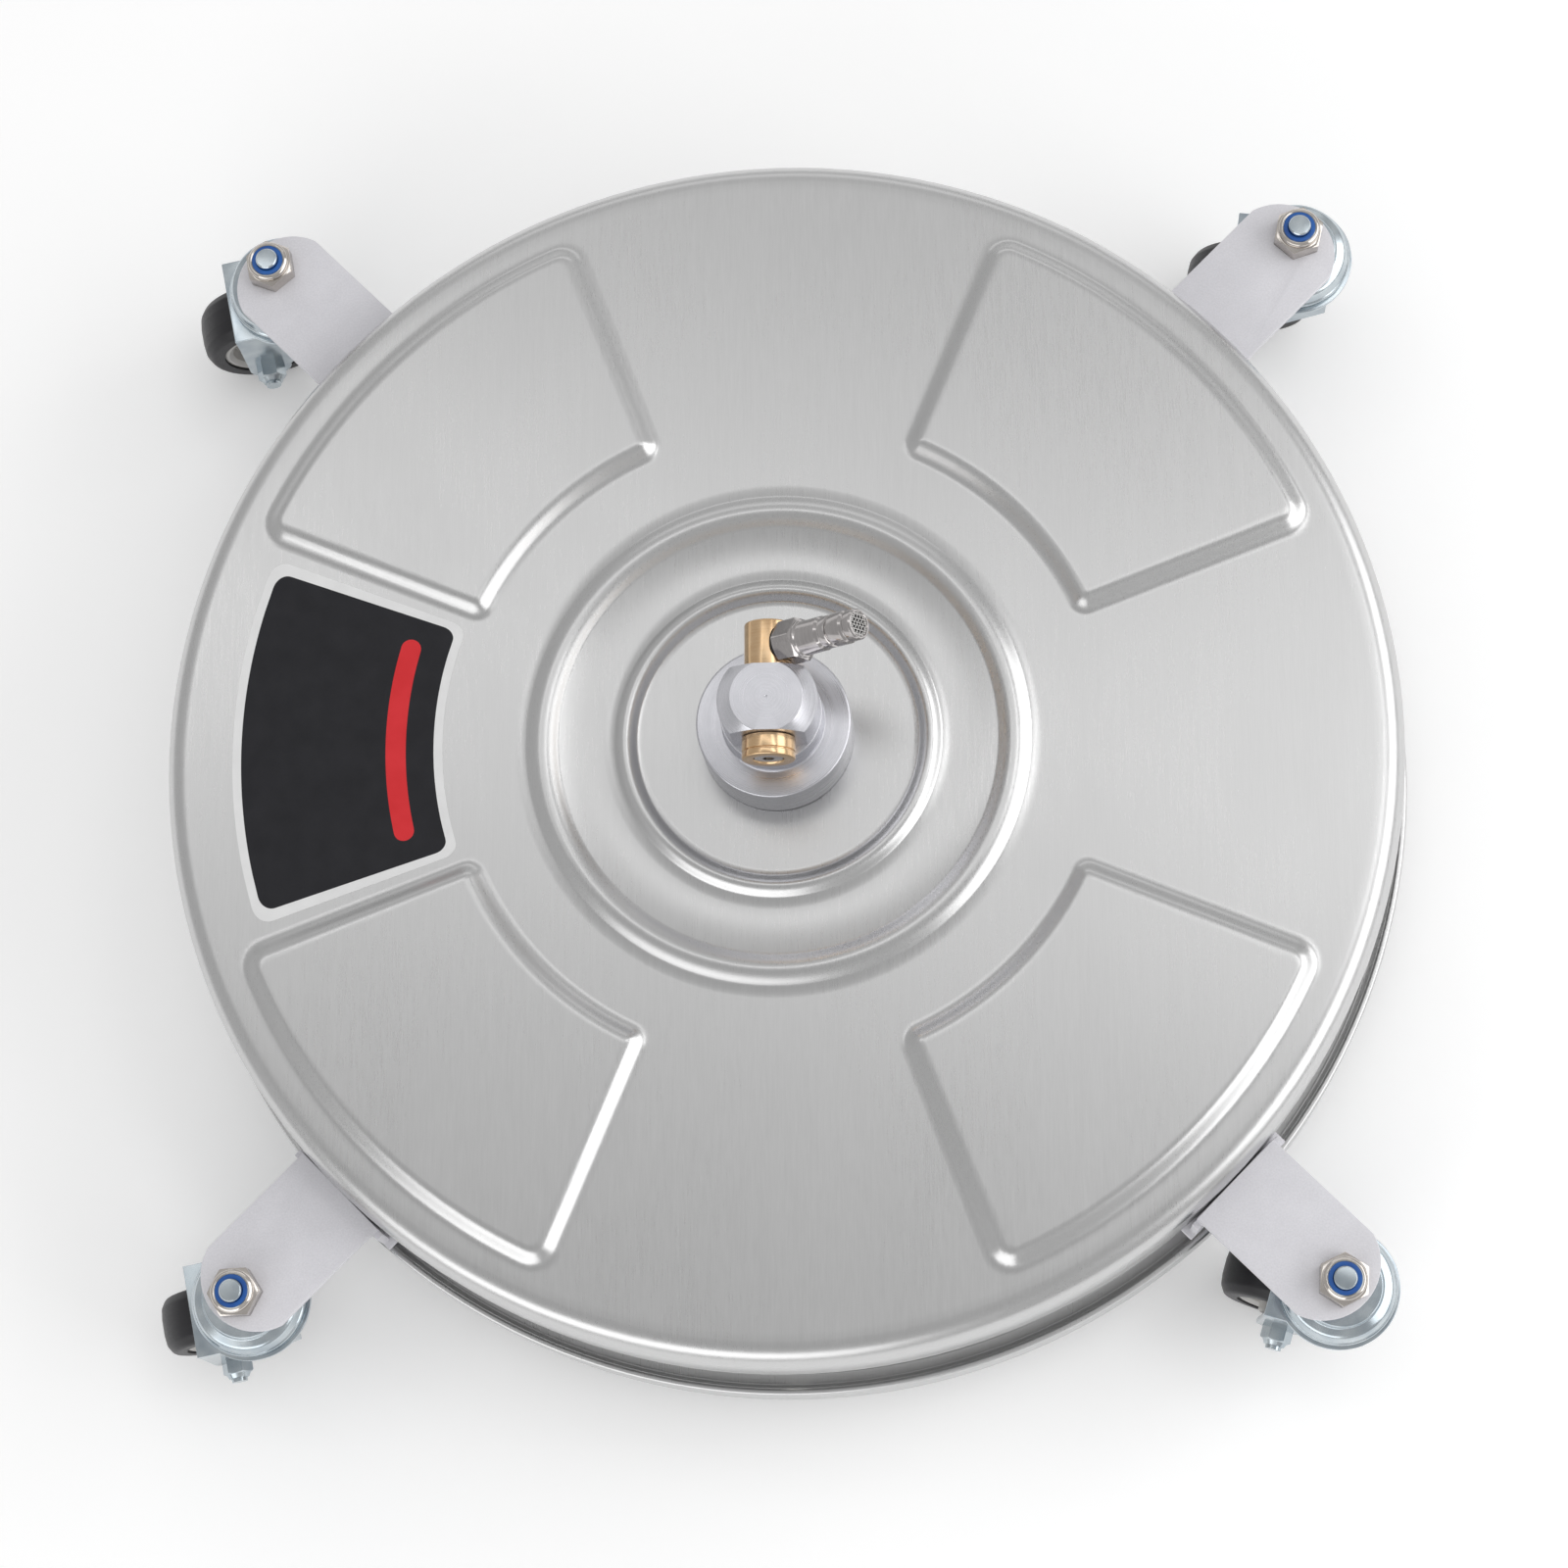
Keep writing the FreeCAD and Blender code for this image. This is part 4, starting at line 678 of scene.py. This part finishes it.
def spin_in_sectors(name, outline):
    """Spin an outline once round, in fine steps where the pads' side flanks rise."""
    piece = drawn(name, [(r, 0, z) for r, z in outline])
    for degrees, steps in QUARTER_TURN * 4:
        bpy.ops.mesh.spin(steps=steps, angle=math.radians(degrees), center=(0, 0, 0),
                          axis=(0, 0, -1), use_auto_merge=False)
    tidy_mesh()
    bpy.ops.object.mode_set(mode="OBJECT")
    return piece


def pad_distance(x, y):
    """Distance in from the nearest pad's outline, in mm; negative outside it."""
    radius = math.hypot(x, y)
    angle = math.atan2(y, x)
    away = min(abs(math.remainder(angle - PRESS_TURN - leg, 2 * math.pi)) for leg in LEG_ANGLES)
    corner = PAD_INNER_CORNER if radius < (PAD_INNER + PAD_OUTER) / 2 else PAD_OUTER_CORNER
    across = radius * math.sin(PAD_HALF_ANGLE - away) - corner
    short = min(radius - PAD_INNER, PAD_OUTER - radius) - corner
    if across >= 0 and short >= 0:
        return corner + min(across, short)
    return corner - math.hypot(min(across, 0), min(short, 0))


def raise_pads(piece):
    """Lift the deck and its underside inside each pad by a smooth step."""
    for vertex in piece.data.vertices:
        x, y, z = (c / MM for c in vertex.co)
        if z < DECK - SHEET - 0.1:
            continue
        share = min(max(pad_distance(x, y) / PAD_SLOPE, 0), 1)
        vertex.co.z += PAD_HEIGHT * MM * share * share * (3 - 2 * share)
    return piece


pan = raise_pads(spin_in_sectors("pan", pan_outline()))
smooth(pan, 40)
hand_over(pan, "sheet", "deck", "stainless_sheet", "upper_housing")
print("pan size", [round(side / MM, 1) for side in pan.dimensions], "mm")

# %% [markdown]
# ## The lower ring
# The ring under the pan is the same sheet: a flat flange that the spacers stand on, a rolled
# channel that stiffens it, a narrow rounded shoulder that catches the light, and a short skirt
# whose foot is folded back on itself.
# %% Lower ring
RING_RADIUS = high("lower_ring", 0)
RING_TOP = high("lower_ring", 2)
RING_LOW = low("lower_ring", 2)
RING_INNER = 211.0


def ring_outline():
    outer = [(RING_INNER, RING_TOP, 0.6), (226.0, RING_TOP, 0.8), (227.4, RING_TOP - 6, 1.0),
             (231.8, RING_TOP - 6, 1.2), (233.2, RING_TOP, 1.3), (RING_RADIUS, RING_TOP, 1.6),
             (RING_RADIUS, RING_LOW, 0.7)]
    inner = [(RING_RADIUS - 2.6, RING_LOW, 0.7), (RING_RADIUS - 2.6, RING_LOW + 6, 0.4),
             (RING_RADIUS - SHEET, RING_LOW + 6.6, 0), (RING_RADIUS - SHEET, RING_TOP - 2, 0.2),
             (234.0, RING_TOP - 2, 0.2), (232.9, RING_TOP - 7.5, 0.4), (226.3, RING_TOP - 7.5, 0.4),
             (225.0, RING_TOP - SHEET, 0.4), (RING_INNER, RING_TOP - SHEET, 0.6)]
    return rounded(outer + inner, 6)


ring = smooth(lathe("ring", ring_outline(), 240), 40)
hand_over(ring, "sheet", "deck", "stainless_sheet", "lower_ring")

# %% [markdown]
# ## Legs
# Each leg is a 3 mm strip with a rounded end, bent down beside the skirt and in under the lip.
# The engineering shape is right already; a punched and coated strip only lacks its softened
# edges, so a copy is merged, cleaned of flat cuts and bevelled.
# %% Legs
for corner in CORNERS:
    leg = smooth(cad_copy("leg_" + corner, "strip_leg_" + corner, 0.45, 3, 40), 32)
    hand_over(leg, "coat", "deck", "grey_painted_steel", "leg_" + corner)

# %% [markdown]
# ## Caster nuts
# A self-locking nut is a hexagon whose corners are turned to a cone, topped by a rolled collar
# that holds a nylon ring.  One nut is modelled and copied to the four stems.
# %% Caster nuts, inserts and stem tips
NUT_TOP = high("caster_nuts", 2)
INSERT_LOW = low("nut_inserts", 2)
STEM_TOP = high("caster_stems", 2)
NUT_FLATS, WELL, THREAD = 17.0, 6.1, 5.05
FIRST_NUT_TURN, NUT_TURN_STEP = 17, 23


def lock_nut():
    hex_part = hexagon("nut", NUT_FLATS, LEG_TOP, NUT_TOP - 3.2)
    collar = lathe("collar", rounded([
        (0, LEG_TOP + 1, 0), (7.2, LEG_TOP + 1, 0), (7.2, NUT_TOP - 3.3, 0.2),
        (7.85, NUT_TOP - 2.7, 0.4), (7.85, NUT_TOP - 0.9, 0.9), (6.7, NUT_TOP - 0.05, 0.5),
        (6.1, NUT_TOP - 0.5, 0.3), (0, NUT_TOP - 0.5, 0)], 5), 72)
    nut = combined(hex_part, collar, "UNION")
    nut = combined(nut, bar("well", WELL, INSERT_LOW, NUT_TOP + 1))
    return smooth(combined(nut, bar("thread", THREAD, LEG_TOP - 1, NUT_TOP + 1)), 34)


def insert_ring():
    """Nylon ring, whose lip closes in over the end of the thread."""
    top = NUT_TOP - 0.35
    return smooth(lathe("insert", rounded([
        (THREAD, INSERT_LOW, 0), (6.08, INSERT_LOW, 0), (6.08, top, 0.35), (4.3, top, 0.35),
        (4.3, top - 0.6, 0), (THREAD, top - 1.2, 0)], 4), 72))


def stem_tip():
    """The stem's end inside the nut: the thread runs out to a plain chamfered tip."""
    return smooth(lathe("tip", rounded([
        (0, LEG_TOP - 3, 0), (4.9, LEG_TOP - 3, 0), (4.9, NUT_TOP - 2.2, 0.2),
        (4.2, NUT_TOP - 1.4, 0.1), (4.2, STEM_TOP - 0.5, 0.2), (3.75, STEM_TOP, 0.2),
        (0, STEM_TOP, 0)], 3), 64), 30)


nut, insert, tip = lock_nut(), insert_ring(), stem_tip()
nuts, inserts, tips = [], [], []
for number, (corner, place) in enumerate(STEM_PLACES.items()):
    # each nut stopped at its own angle when it was tightened
    turn = Matrix.Rotation(math.radians(FIRST_NUT_TURN + NUT_TURN_STEP * number), 4, "Z")
    spot = Matrix.Translation((place.x, place.y, 0)) @ turn
    nuts.append(copy_at(nut, "nut_" + corner, spot))
    inserts.append(copy_at(insert, "insert_" + corner, spot))
    tips.append(copy_at(tip, "tip_" + corner, spot))
discard(nut, insert, tip)
hand_over(joined(nuts, "lock_nuts"), "nut", "deck", "stainless_fasteners", "caster_nuts")
hand_over(joined(inserts, "nylon_rings"), "nylon", "deck", "blue_nylon", "nut_inserts")

# %% [markdown]
# ## Stems and top races
# The stem's head and shank stay hidden inside the caster, and only the tip shows above the nut.
# The top race is a domed pressing: a rounded shoulder, a step, and a flat that meets the leg.
# %% Stems and races
STEM_LOW = low("caster_stems", 2)
RACE_LOW = low("caster_top_races", 2)
RACE_HIGH = high("caster_top_races", 2)


def stem_body():
    head_top = STEM_LOW + 3.0
    return smooth(lathe("stem", rounded([
        (0, STEM_LOW, 0), (8, STEM_LOW, 0.8), (8, head_top, 0.4), (5, head_top, 0),
        (5, LEG_TOP - 2, 0), (0, LEG_TOP - 2, 0)], 4), 64))


def race():
    return smooth(lathe("race", rounded([
        (THREAD, RACE_LOW, 0), (20.6, RACE_LOW, 0.5), (21.4, RACE_LOW + 0.8, 0.4),
        (21.4, RACE_LOW + 2.4, 0.9), (20.6, RACE_LOW + 3.1, 0.6), (19.6, RACE_LOW + 6.9, 3.0),
        (15.9, RACE_HIGH - 1.6, 0.8), (15.2, RACE_HIGH, 0.6), (THREAD, RACE_HIGH, 0)], 6)), 40)


shank, cap = stem_body(), race()
shanks, caps = list(tips), []
for corner, place in STEM_PLACES.items():
    spot = Matrix.Translation((place.x, place.y, 0))
    shanks.append(copy_at(shank, "shank_" + corner, spot))
    caps.append(copy_at(cap, "race_" + corner, spot))
discard(shank, cap)
hand_over(joined(shanks, "stems"), "zinc", "deck", "zinc_plated_steel", "caster_stems")
hand_over(joined(caps, "top_races"), "zinc", "deck", "zinc_plated_steel", "caster_top_races")

# %% [markdown]
# ## Forks
# A caster fork is one blank, pressed into a round top that holds the ball track and two cheeks
# that carry the axle.  The engineering fork gives the outline; broken edges give it the look of
# a pressing.
# %% Forks
for corner in CORNERS:
    fork = smooth(cad_copy("fork_" + corner, "pressed_fork_" + corner, 0.8, 4, 50), 35)
    hand_over(fork, "zinc", "caster_" + corner, "zinc_plated_steel", "fork_" + corner)

# %% [markdown]
# ## Wheels
# A small caster wheel is a moulded grey hub with a black polyurethane tyre cast on it.  Both
# are spun on the Z axis and then laid on their axle, whose place and direction the wheel's
# joint gives.
# %% Wheels
WHEEL_RADIUS = high("tyre_rear_right", 2) / 2
TYRE_HALF, TYRE_FOOT = 10.5, 17.6       # half its width, and the radius where it meets the hub


def axle_matrix(corner):
    """Turns the Z axis to a wheel's axle, at its middle."""
    joint = JOINTS["wheel_spin_" + corner]
    turn = Vector((0, 0, 1)).rotation_difference(Vector(joint["axis"])).to_matrix().to_4x4()
    return Matrix.Translation(Vector(joint["pos_m"])) @ turn


def tyre_outline():
    shoulder = WHEEL_RADIUS - 0.5
    return rounded([
        (TYRE_FOOT, -TYRE_HALF, 0), (WHEEL_RADIUS - 2.6, -TYRE_HALF, 2.5),
        (shoulder, -TYRE_HALF + 3.4, 3.0), (WHEEL_RADIUS, -3.0, 2.0), (WHEEL_RADIUS, 3.0, 2.0),
        (shoulder, TYRE_HALF - 3.4, 3.0), (WHEEL_RADIUS - 2.6, TYRE_HALF, 2.5),
        (TYRE_FOOT, TYRE_HALF, 0)], 6)


def hub_outline():
    """One side of the hub from its seat in the tyre to the bore, and its mirror image."""
    side = [(17.58, 9.4, 0.3), (15.8, 10.0, 0.5), (13.9, 8.6, 0.5), (13.2, 4.4, 0.8),
            (9.6, 4.2, 0.8), (8.9, 12.4, 0.4), (8.1, 13.0, 0.4), (5.6, 13.0, 0.3),
            (4.54, 12.2, 0.2)]
    return rounded([(r, -z, c) for r, z, c in side] + side[::-1], 4)


tyre_pattern = smooth(lathe("tyre_pattern", tyre_outline()), 40)
hub_pattern = smooth(lathe("hub_pattern", hub_outline()), 34)
for corner in CORNERS:
    tyre = copy_at(tyre_pattern, "cast_tyre_" + corner, axle_matrix(corner))
    hub = copy_at(hub_pattern, "moulded_hub_" + corner, axle_matrix(corner))
    hand_over(tyre, "tyre", "wheel_" + corner, "tyre", "tyre_" + corner)
    hand_over(hub, "hub", "wheel_" + corner, "grey_polypropylene", "wheel_hub_" + corner)
discard(tyre_pattern, hub_pattern)

# %% [markdown]
# ## Swivel body
# One bar of aluminium, turned in four steps: a base on the deck, a collar, a head with a deep
# chamfer, and a spigot that passes through the deck.  Two flats are then milled on the head for
# the brass pieces, and the cross bore is drilled between them.
# %% Swivel body
FLAT = 12.2
SHELF = PIVOT - 10.5
BASE_TOP = DECK + 22.0
BASE_LOW = DECK + 1.0
MILL_DEPTH = 12.0
CROSS_BORE, BEARING_BORE, BEARING_DEPTH = 7.05, 16.02, 33.0


def swivel():
    spigot_low = low("swivel_body", 2)
    body = lathe("swivel", rounded([
        (0, spigot_low, 0), (19, spigot_low, 0.8), (19, BASE_LOW, 0), (BASE_RADIUS, BASE_LOW, 0.4),
        (BASE_RADIUS, BASE_TOP, 0.8), (18.9, BASE_TOP, 0.3), (18.5, BASE_TOP + 0.5, 0.2),
        (18.5, SHELF, 0.3), (18, SHELF + 0.01, 0), (18, HEAD_TOP - 5, 0.3), (13, HEAD_TOP, 0.3),
        (0, HEAD_TOP, 0)], 5), 128)
    for start in (-FLAT - MILL_DEPTH, FLAT):
        body = combined(body, block("mill", (-30, start, SHELF), (60, MILL_DEPTH, 40)))
    across = Matrix.Translation((0, 0, PIVOT * MM)) @ Matrix.Rotation(math.pi / 2, 4, "X")
    body = combined(body, apply_place(bar("cross", CROSS_BORE, -40, 40), across))
    body = combined(body, bar("bearing_bore", BEARING_BORE, spigot_low - 1,
                              spigot_low + BEARING_DEPTH, 96))
    body = combined(body, lathe("centre_mark", [
        (0, HEAD_TOP - 0.5), (0.6, HEAD_TOP + 0.1), (0, HEAD_TOP + 0.1)], 24))
    return smooth(body, 30)


hand_over(swivel(), "aluminium", "deck", "machined_aluminium", "swivel_body")

# %% [markdown]
# ## The brass inlet
# The elbow is a brass bar with a reduced shaft that turns in the head's cross bore.  Its outer
# end is spot-faced where the plug screws in.  On the far side a grooved brass cap, recessed for
# a socket screw, keeps the shaft in place.
# %% Brass pieces
INLET_END = high("inlet_shaft", 1)
CAP_END = low("inlet_end_cap", 1)
CAP_START = high("inlet_end_cap", 1)
SPOT_FACE = (7.9, 8.2, 20)              # radius, and reach along the plug's line from and to


def on_pivot():
    """Turns the Z axis to +Y, at the pivot."""
    return Matrix.Translation((0, 0, PIVOT * MM)) @ Matrix.Rotation(-math.pi / 2, 4, "X")


def plug_matrix():
    """Turns the Z axis to the plug's own line, starting at the pivot's axis."""
    start = Vector((0, plug_centre.y, PIVOT * MM))
    turn = Vector((0, 0, 1)).rotation_difference(plug_axis).to_matrix().to_4x4()
    return Matrix.Translation(start) @ turn


def elbow():
    face = FLAT + 0.15
    stub = -low("inlet_shaft", 1)
    body = lathe("elbow", rounded([
        (0, -stub, 0), (5, -stub, 0.3), (5, -face, 0), (7, -face, 0.2), (7, face, 0),
        (8.6, face, 0.35), (8.6, INLET_END, 0.7), (0, INLET_END, 0)], 5))
    apply_place(body, on_pivot())
    spot_face = apply_place(bar("spot_face", *SPOT_FACE), plug_matrix())
    return smooth(combined(body, spot_face), 30)


def end_cap():
    """Cap with a groove round it and a stepped recess for the screw."""
    seat = CAP_END + 2.7
    body = lathe("cap", rounded([
        (5.02, CAP_START - 0.01, 0), (9.6, CAP_START, 0.5), (9.6, CAP_START - 5.0, 0.15),
        (9.1, CAP_START - 5.25, 0.1), (9.1, CAP_START - 5.55, 0.1),
        (9.6, CAP_START - 5.8, 0.15), (9.6, CAP_END, 0.6), (5.9, CAP_END, 0.4),
        (5.4, CAP_END + 0.6, 0.2), (5.4, seat, 0), (5.02, seat, 0)], 4))
    return smooth(apply_place(body, on_pivot()), 30)


hand_over(elbow(), "brass", "inlet", "brass", "inlet_shaft")
hand_over(end_cap(), "brass", "inlet", "brass", "inlet_end_cap")

# %% [markdown]
# ## The quick-connect plug
# The plug is turned from hexagon bar: the hexagon, a plain barrel, the locking groove, a collar
# with rounded shoulders, and a mouth that shows the strainer.  Turned parts are spun; the
# hexagon is intersected with a double cone and joined on.
# %% Plug
HEX_FLATS = 14.4
HEX_START, HEX_END = 8.1, 17.2          # reach along the plug's own line
PLUG_REACH = 43.8


def plug():
    body = hexagon("plug", HEX_FLATS, HEX_START, HEX_END, chamfer_bottom=True)
    profile = lathe("profile", rounded([
        (0, 7.1, 0), (5.4, 7.1, 0), (5.4, HEX_START + 0.5, 0), (6.0, HEX_START + 0.5, 0),
        (6.0, HEX_END - 0.5, 0), (6.9, HEX_END - 0.3, 0.1), (6.9, HEX_END + 0.7, 0.3),
        (6.2, HEX_END + 1.1, 0.2),
        (6.2, HEX_END + 10.0, 0.2), (5.5, HEX_END + 11.0, 0.2), (5.5, HEX_END + 11.5, 0.1),
        (5.9, HEX_END + 11.9, 0.2), (5.9, HEX_END + 14.4, 0.2), (5.1, HEX_END + 14.8, 0.15),
        (5.1, HEX_END + 15.5, 0.15), (6.0, HEX_END + 16.0, 0.3), (6.0, HEX_END + 21.4, 0.3),
        (5.3, HEX_END + 22.2, 0.2), (5.3, HEX_END + 22.8, 0.2), (5.6, HEX_END + 23.3, 0.2),
        (5.6, PLUG_REACH - 0.7, 0.4), (5.0, PLUG_REACH, 0.3), (4.6, PLUG_REACH, 0.2),
        (4.35, PLUG_REACH - 0.5, 0.2), (4.35, PLUG_REACH - 3.4, 0.1),
        (0, PLUG_REACH - 3.4, 0)], 4))
    body = combined(body, profile, "UNION")
    return smooth(apply_place(body, plug_matrix()), 32)


hand_over(plug(), "plug", "inlet", "stainless_turned", "inlet_plug")

# %% [markdown]
# ## The label
# The sticker is a ring sector with rounded corners: white film, a black printed field and a red
# band, all left bare of words and signs.  Each layer is its own thin sheet: a circle's points
# are set on the outline, and the face is extruded to the sheet's thickness.
# %% Label layers
LABEL_INNER, LABEL_OUTER, LABEL_HALF = 125.0, 204.0, 20.3
FIELD_INSET, FIELD_HALF = 3.3, LABEL_HALF - 1.25
BAND_INNER, BAND_OUTER, BAND_HALF = 138.7, 146.3, 15.7
LABEL_LOW, LABEL_HIGH = low("deck_label", 2), high("deck_label", 2)


def sector(name, inner, outer, half_degrees, bottom, top, corner):
    """Thin ring sector centred on the -X side.

    Its outline is drawn unrolled, as a rectangle with rounded corners, and bent round the axis.
    """
    steps = 40
    middle = (inner + outer) / 2
    half = math.radians(half_degrees) * middle
    reach = half - 2.5 * corner
    side = [reach * (2 * n / steps - 1) for n in range(steps + 1)]
    corners = [(-half, inner, corner)] + [(u, inner, 0) for u in side] + [(half, inner, corner)]
    corners += [(half, outer, corner)] + [(u, outer, 0) for u in reversed(side)]
    corners += [(-half, outer, corner)]
    points = []
    for along, radius in rounded(corners, 8):
        angle = math.pi + PRESS_TURN + along / middle
        points.append((radius * math.cos(angle), radius * math.sin(angle), bottom))
    piece = drawn(name, points, "NGON")
    thickness = (0, 0, (top - bottom) * MM)
    bpy.ops.mesh.extrude_region_move(TRANSFORM_OT_translate={"value": thickness})
    tidy_mesh()
    bpy.ops.object.mode_set(mode="OBJECT")
    return piece


film = sector("label_film", LABEL_INNER, LABEL_OUTER, LABEL_HALF,
              LABEL_LOW, LABEL_HIGH - 0.06, 6.0)
field = sector("label_field", LABEL_INNER + FIELD_INSET, LABEL_OUTER - FIELD_INSET, FIELD_HALF,
               LABEL_HIGH - 0.1, LABEL_HIGH - 0.03, 5.0)
band = sector("label_band", BAND_INNER, BAND_OUTER, BAND_HALF,
              LABEL_HIGH - 0.05, LABEL_HIGH, 3.7)
hand_over(film, "border", "deck", "label_film", "deck_label")
hand_over(field, "field", "deck", "label_film")
hand_over(band, "band", "deck", "label_film")

# %% [markdown]
# ## Pieces that keep their shape
# Bolts, tubes, bearings and seals are right as they are.  They only need their finish.
# %% Dressing the remaining nodes
dress("sheet", "clamp_plate")
dress("shaft", "ring_spacers", "rotor_shaft", "spray_hub")
dress("tubing", "spray_tube_right", "spray_tube_left", "nozzle_holder_right", "nozzle_holder_left",
      "tube_nuts", "spray_nozzles")
dress("nut", "ring_bolts", "foot_bolts", "flange_nuts", "clamp_screws", "hub_lock_nut", "cap_screw")
dress("mesh", "inlet_filter")
dress("bearing", "bearing_outer_rings", "bearing_balls", "bearing_spacer", "bearing_circlip",
      "bearing_inner_rings", "race_balls")
dress("rubber", "deck_gasket", "shaft_seal", "cross_orings", "plug_seal")
dress("zinc", "caster_lower_nuts", *["axle_" + corner for corner in CORNERS])

# %% [markdown]
# ## Studio
# Bright metal shows the room it stands in, so the room is designed as much as the metal.  The
# floor is plain white paper.
# %% Floor
FLOOR_SIZE = 12                         # metres
FLOOR_LIFT = 0.16


def studio_floor():
    bpy.ops.object.select_all(action="DESELECT")
    bpy.ops.mesh.primitive_plane_add(size=FLOOR_SIZE)
    floor = bpy.context.object
    floor.name = "floor"
    material, tree, shader, place = new_finish("floor_white_paper", Roughness=0.9,
                                               Specular_IOR_Level=0.1)
    cloud = grain(tree, place, (400.0, 400.0, 400.0))
    tint(tree, shader, cloud, "FBFBFB", "FDFDFD")
    # Rays from the camera, and mirror images of the floor in metal, get a little more light from
    # it, so that it shows white; what it throws back on the object stays as it was.
    rays = add_node(tree, "ShaderNodeLightPath").outputs
    mirrored = maths(tree, "MAXIMUM", rays["Is Camera Ray"], rays["Is Glossy Ray"])
    seen = maths(tree, "MAXIMUM", mirrored, rays["Is Transmission Ray"])
    lift = maths(tree, "MULTIPLY", seen, FLOOR_LIFT)
    tree.links.new(lift, shader.inputs["Emission Strength"])
    shader.inputs["Emission Color"].default_value = (1, 1, 1, 1)
    floor.data.materials.append(material)


studio_floor()
print("floor", FLOOR_SIZE, "m across")

# %% [markdown]
# ### Room
# The room is an even grey, a little paler overhead towards the back: the flat deck mirrors that
# part of it, and polished edges mirror the rest.
# %% Room
ROOM, OVERHEAD = 0.55, 0.10


def smooth_step(tree, value, start, stop, low_end, high_end):
    return add_node(tree, "ShaderNodeMapRange", {"interpolation_type": "SMOOTHSTEP"},
                    {"Value": value, "From Min": start, "From Max": stop,
                     "To Min": low_end, "To Max": high_end}).outputs[0]


def room():
    """Grey in every direction, brighter by OVERHEAD high up towards the back."""
    world = bpy.data.worlds.new("studio")
    bpy.context.scene.world = world
    world.use_nodes = True
    tree = world.node_tree
    tree.nodes.clear()
    direction = add_node(tree, "ShaderNodeTexCoord").outputs["Generated"]
    parts = add_node(tree, "ShaderNodeSeparateXYZ", {}, {"Vector": direction})
    high_up = smooth_step(tree, parts.outputs["Z"], 0.5, 0.9, 0.0, 1.0)
    backward = smooth_step(tree, parts.outputs["Y"], -0.05, 0.3, -0.04, OVERHEAD)
    level = maths(tree, "ADD", maths(tree, "MULTIPLY", high_up, backward), ROOM)
    light = add_node(tree, "ShaderNodeBackground", {}, {"Color": (1, 1, 1, 1), "Strength": level})
    add_node(tree, "ShaderNodeOutputWorld", {}, {"Surface": light.outputs[0]})


room()
print("room radiance", ROOM, "to", ROOM + OVERHEAD)

# %% [markdown]
# ### Lamps
# A long strip of soft light hangs behind the object, where the flat deck mirrors it, with
# brighter ends.  Low soft boxes on the right, in front and behind draw bright lines along the
# rolled edges.
# %% Lamps
OBJECT_MIDDLE = (0, 0, 0.05)
SOFTBOXES = (       # name, place, width and height in metres, radiance of the face
    ("strip_overhead", (0.15, 0.55, 2.3), (2.8, 0.42), 0.8),
    ("strip_end_right", (0.95, 0.55, 2.25), (1.0, 0.42), 1.5),
    ("strip_end_left", (-1.2, 0.5, 2.25), (0.9, 0.36), 0.7),
    ("box_right", (1.9, 0.0, 1.2), (2.8, 1.3), 1.9),
    ("box_front", (-0.8, -1.9, 1.0), (2.4, 1.0), 1.5),
    ("box_back", (0.0, 2.2, 1.0), (2.4, 0.6), 0.5),
)


def softbox(name, place, target, size, radiance):
    """Area light given by how bright its face looks, so that its mirror image is known."""
    lamp = bpy.data.lights.new(name, "AREA")
    lamp.shape = "RECTANGLE"
    lamp.size, lamp.size_y = size
    lamp.energy = radiance * math.pi * size[0] * size[1]
    box = bpy.data.objects.new(name, lamp)
    box.location = place
    box.rotation_euler = (Vector(target) - Vector(place)).to_track_quat("-Z", "Y").to_euler()
    bpy.context.scene.collection.objects.link(box)


for name, place, size, radiance in SOFTBOXES:
    softbox(name, place, OBJECT_MIDDLE, size, radiance)
print("lamps", len(SOFTBOXES))

# %% [markdown]
# ## Camera
# The object is seen from almost straight above, from the front and a little to the right, with
# the camera rolled so that front to back stands upright in the picture.
# %% Camera
FOCAL_LENGTH, SENSOR_WIDTH = 78.5, 36.0
CAMERA_PLACE = Vector((0.0889, -0.3237, 1.2169 + DECK * MM))
VIEW_LINE = Vector((-0.0689, 0.2431, -0.9675))
VIEW_RIGHT = Vector((0.9974, -0.0040, -0.0720))


def studio_camera():
    lens = bpy.data.cameras.new("camera")
    lens.lens = FOCAL_LENGTH
    lens.sensor_width = SENSOR_WIDTH
    camera = bpy.data.objects.new("camera", lens)
    bpy.context.scene.collection.objects.link(camera)
    view = VIEW_LINE.normalized()
    right = (VIEW_RIGHT - VIEW_RIGHT.dot(view) * view).normalized()
    up = right.cross(view)
    turn = Matrix((right, up, -view)).transposed().to_4x4()
    camera.matrix_world = Matrix.Translation(CAMERA_PLACE) @ turn
    bpy.context.scene.camera = camera


studio_camera()
print("camera at", [round(c, 3) for c in CAMERA_PLACE], "lens", FOCAL_LENGTH, "mm")
bpy.context.scene.view_settings.view_transform = "Standard"
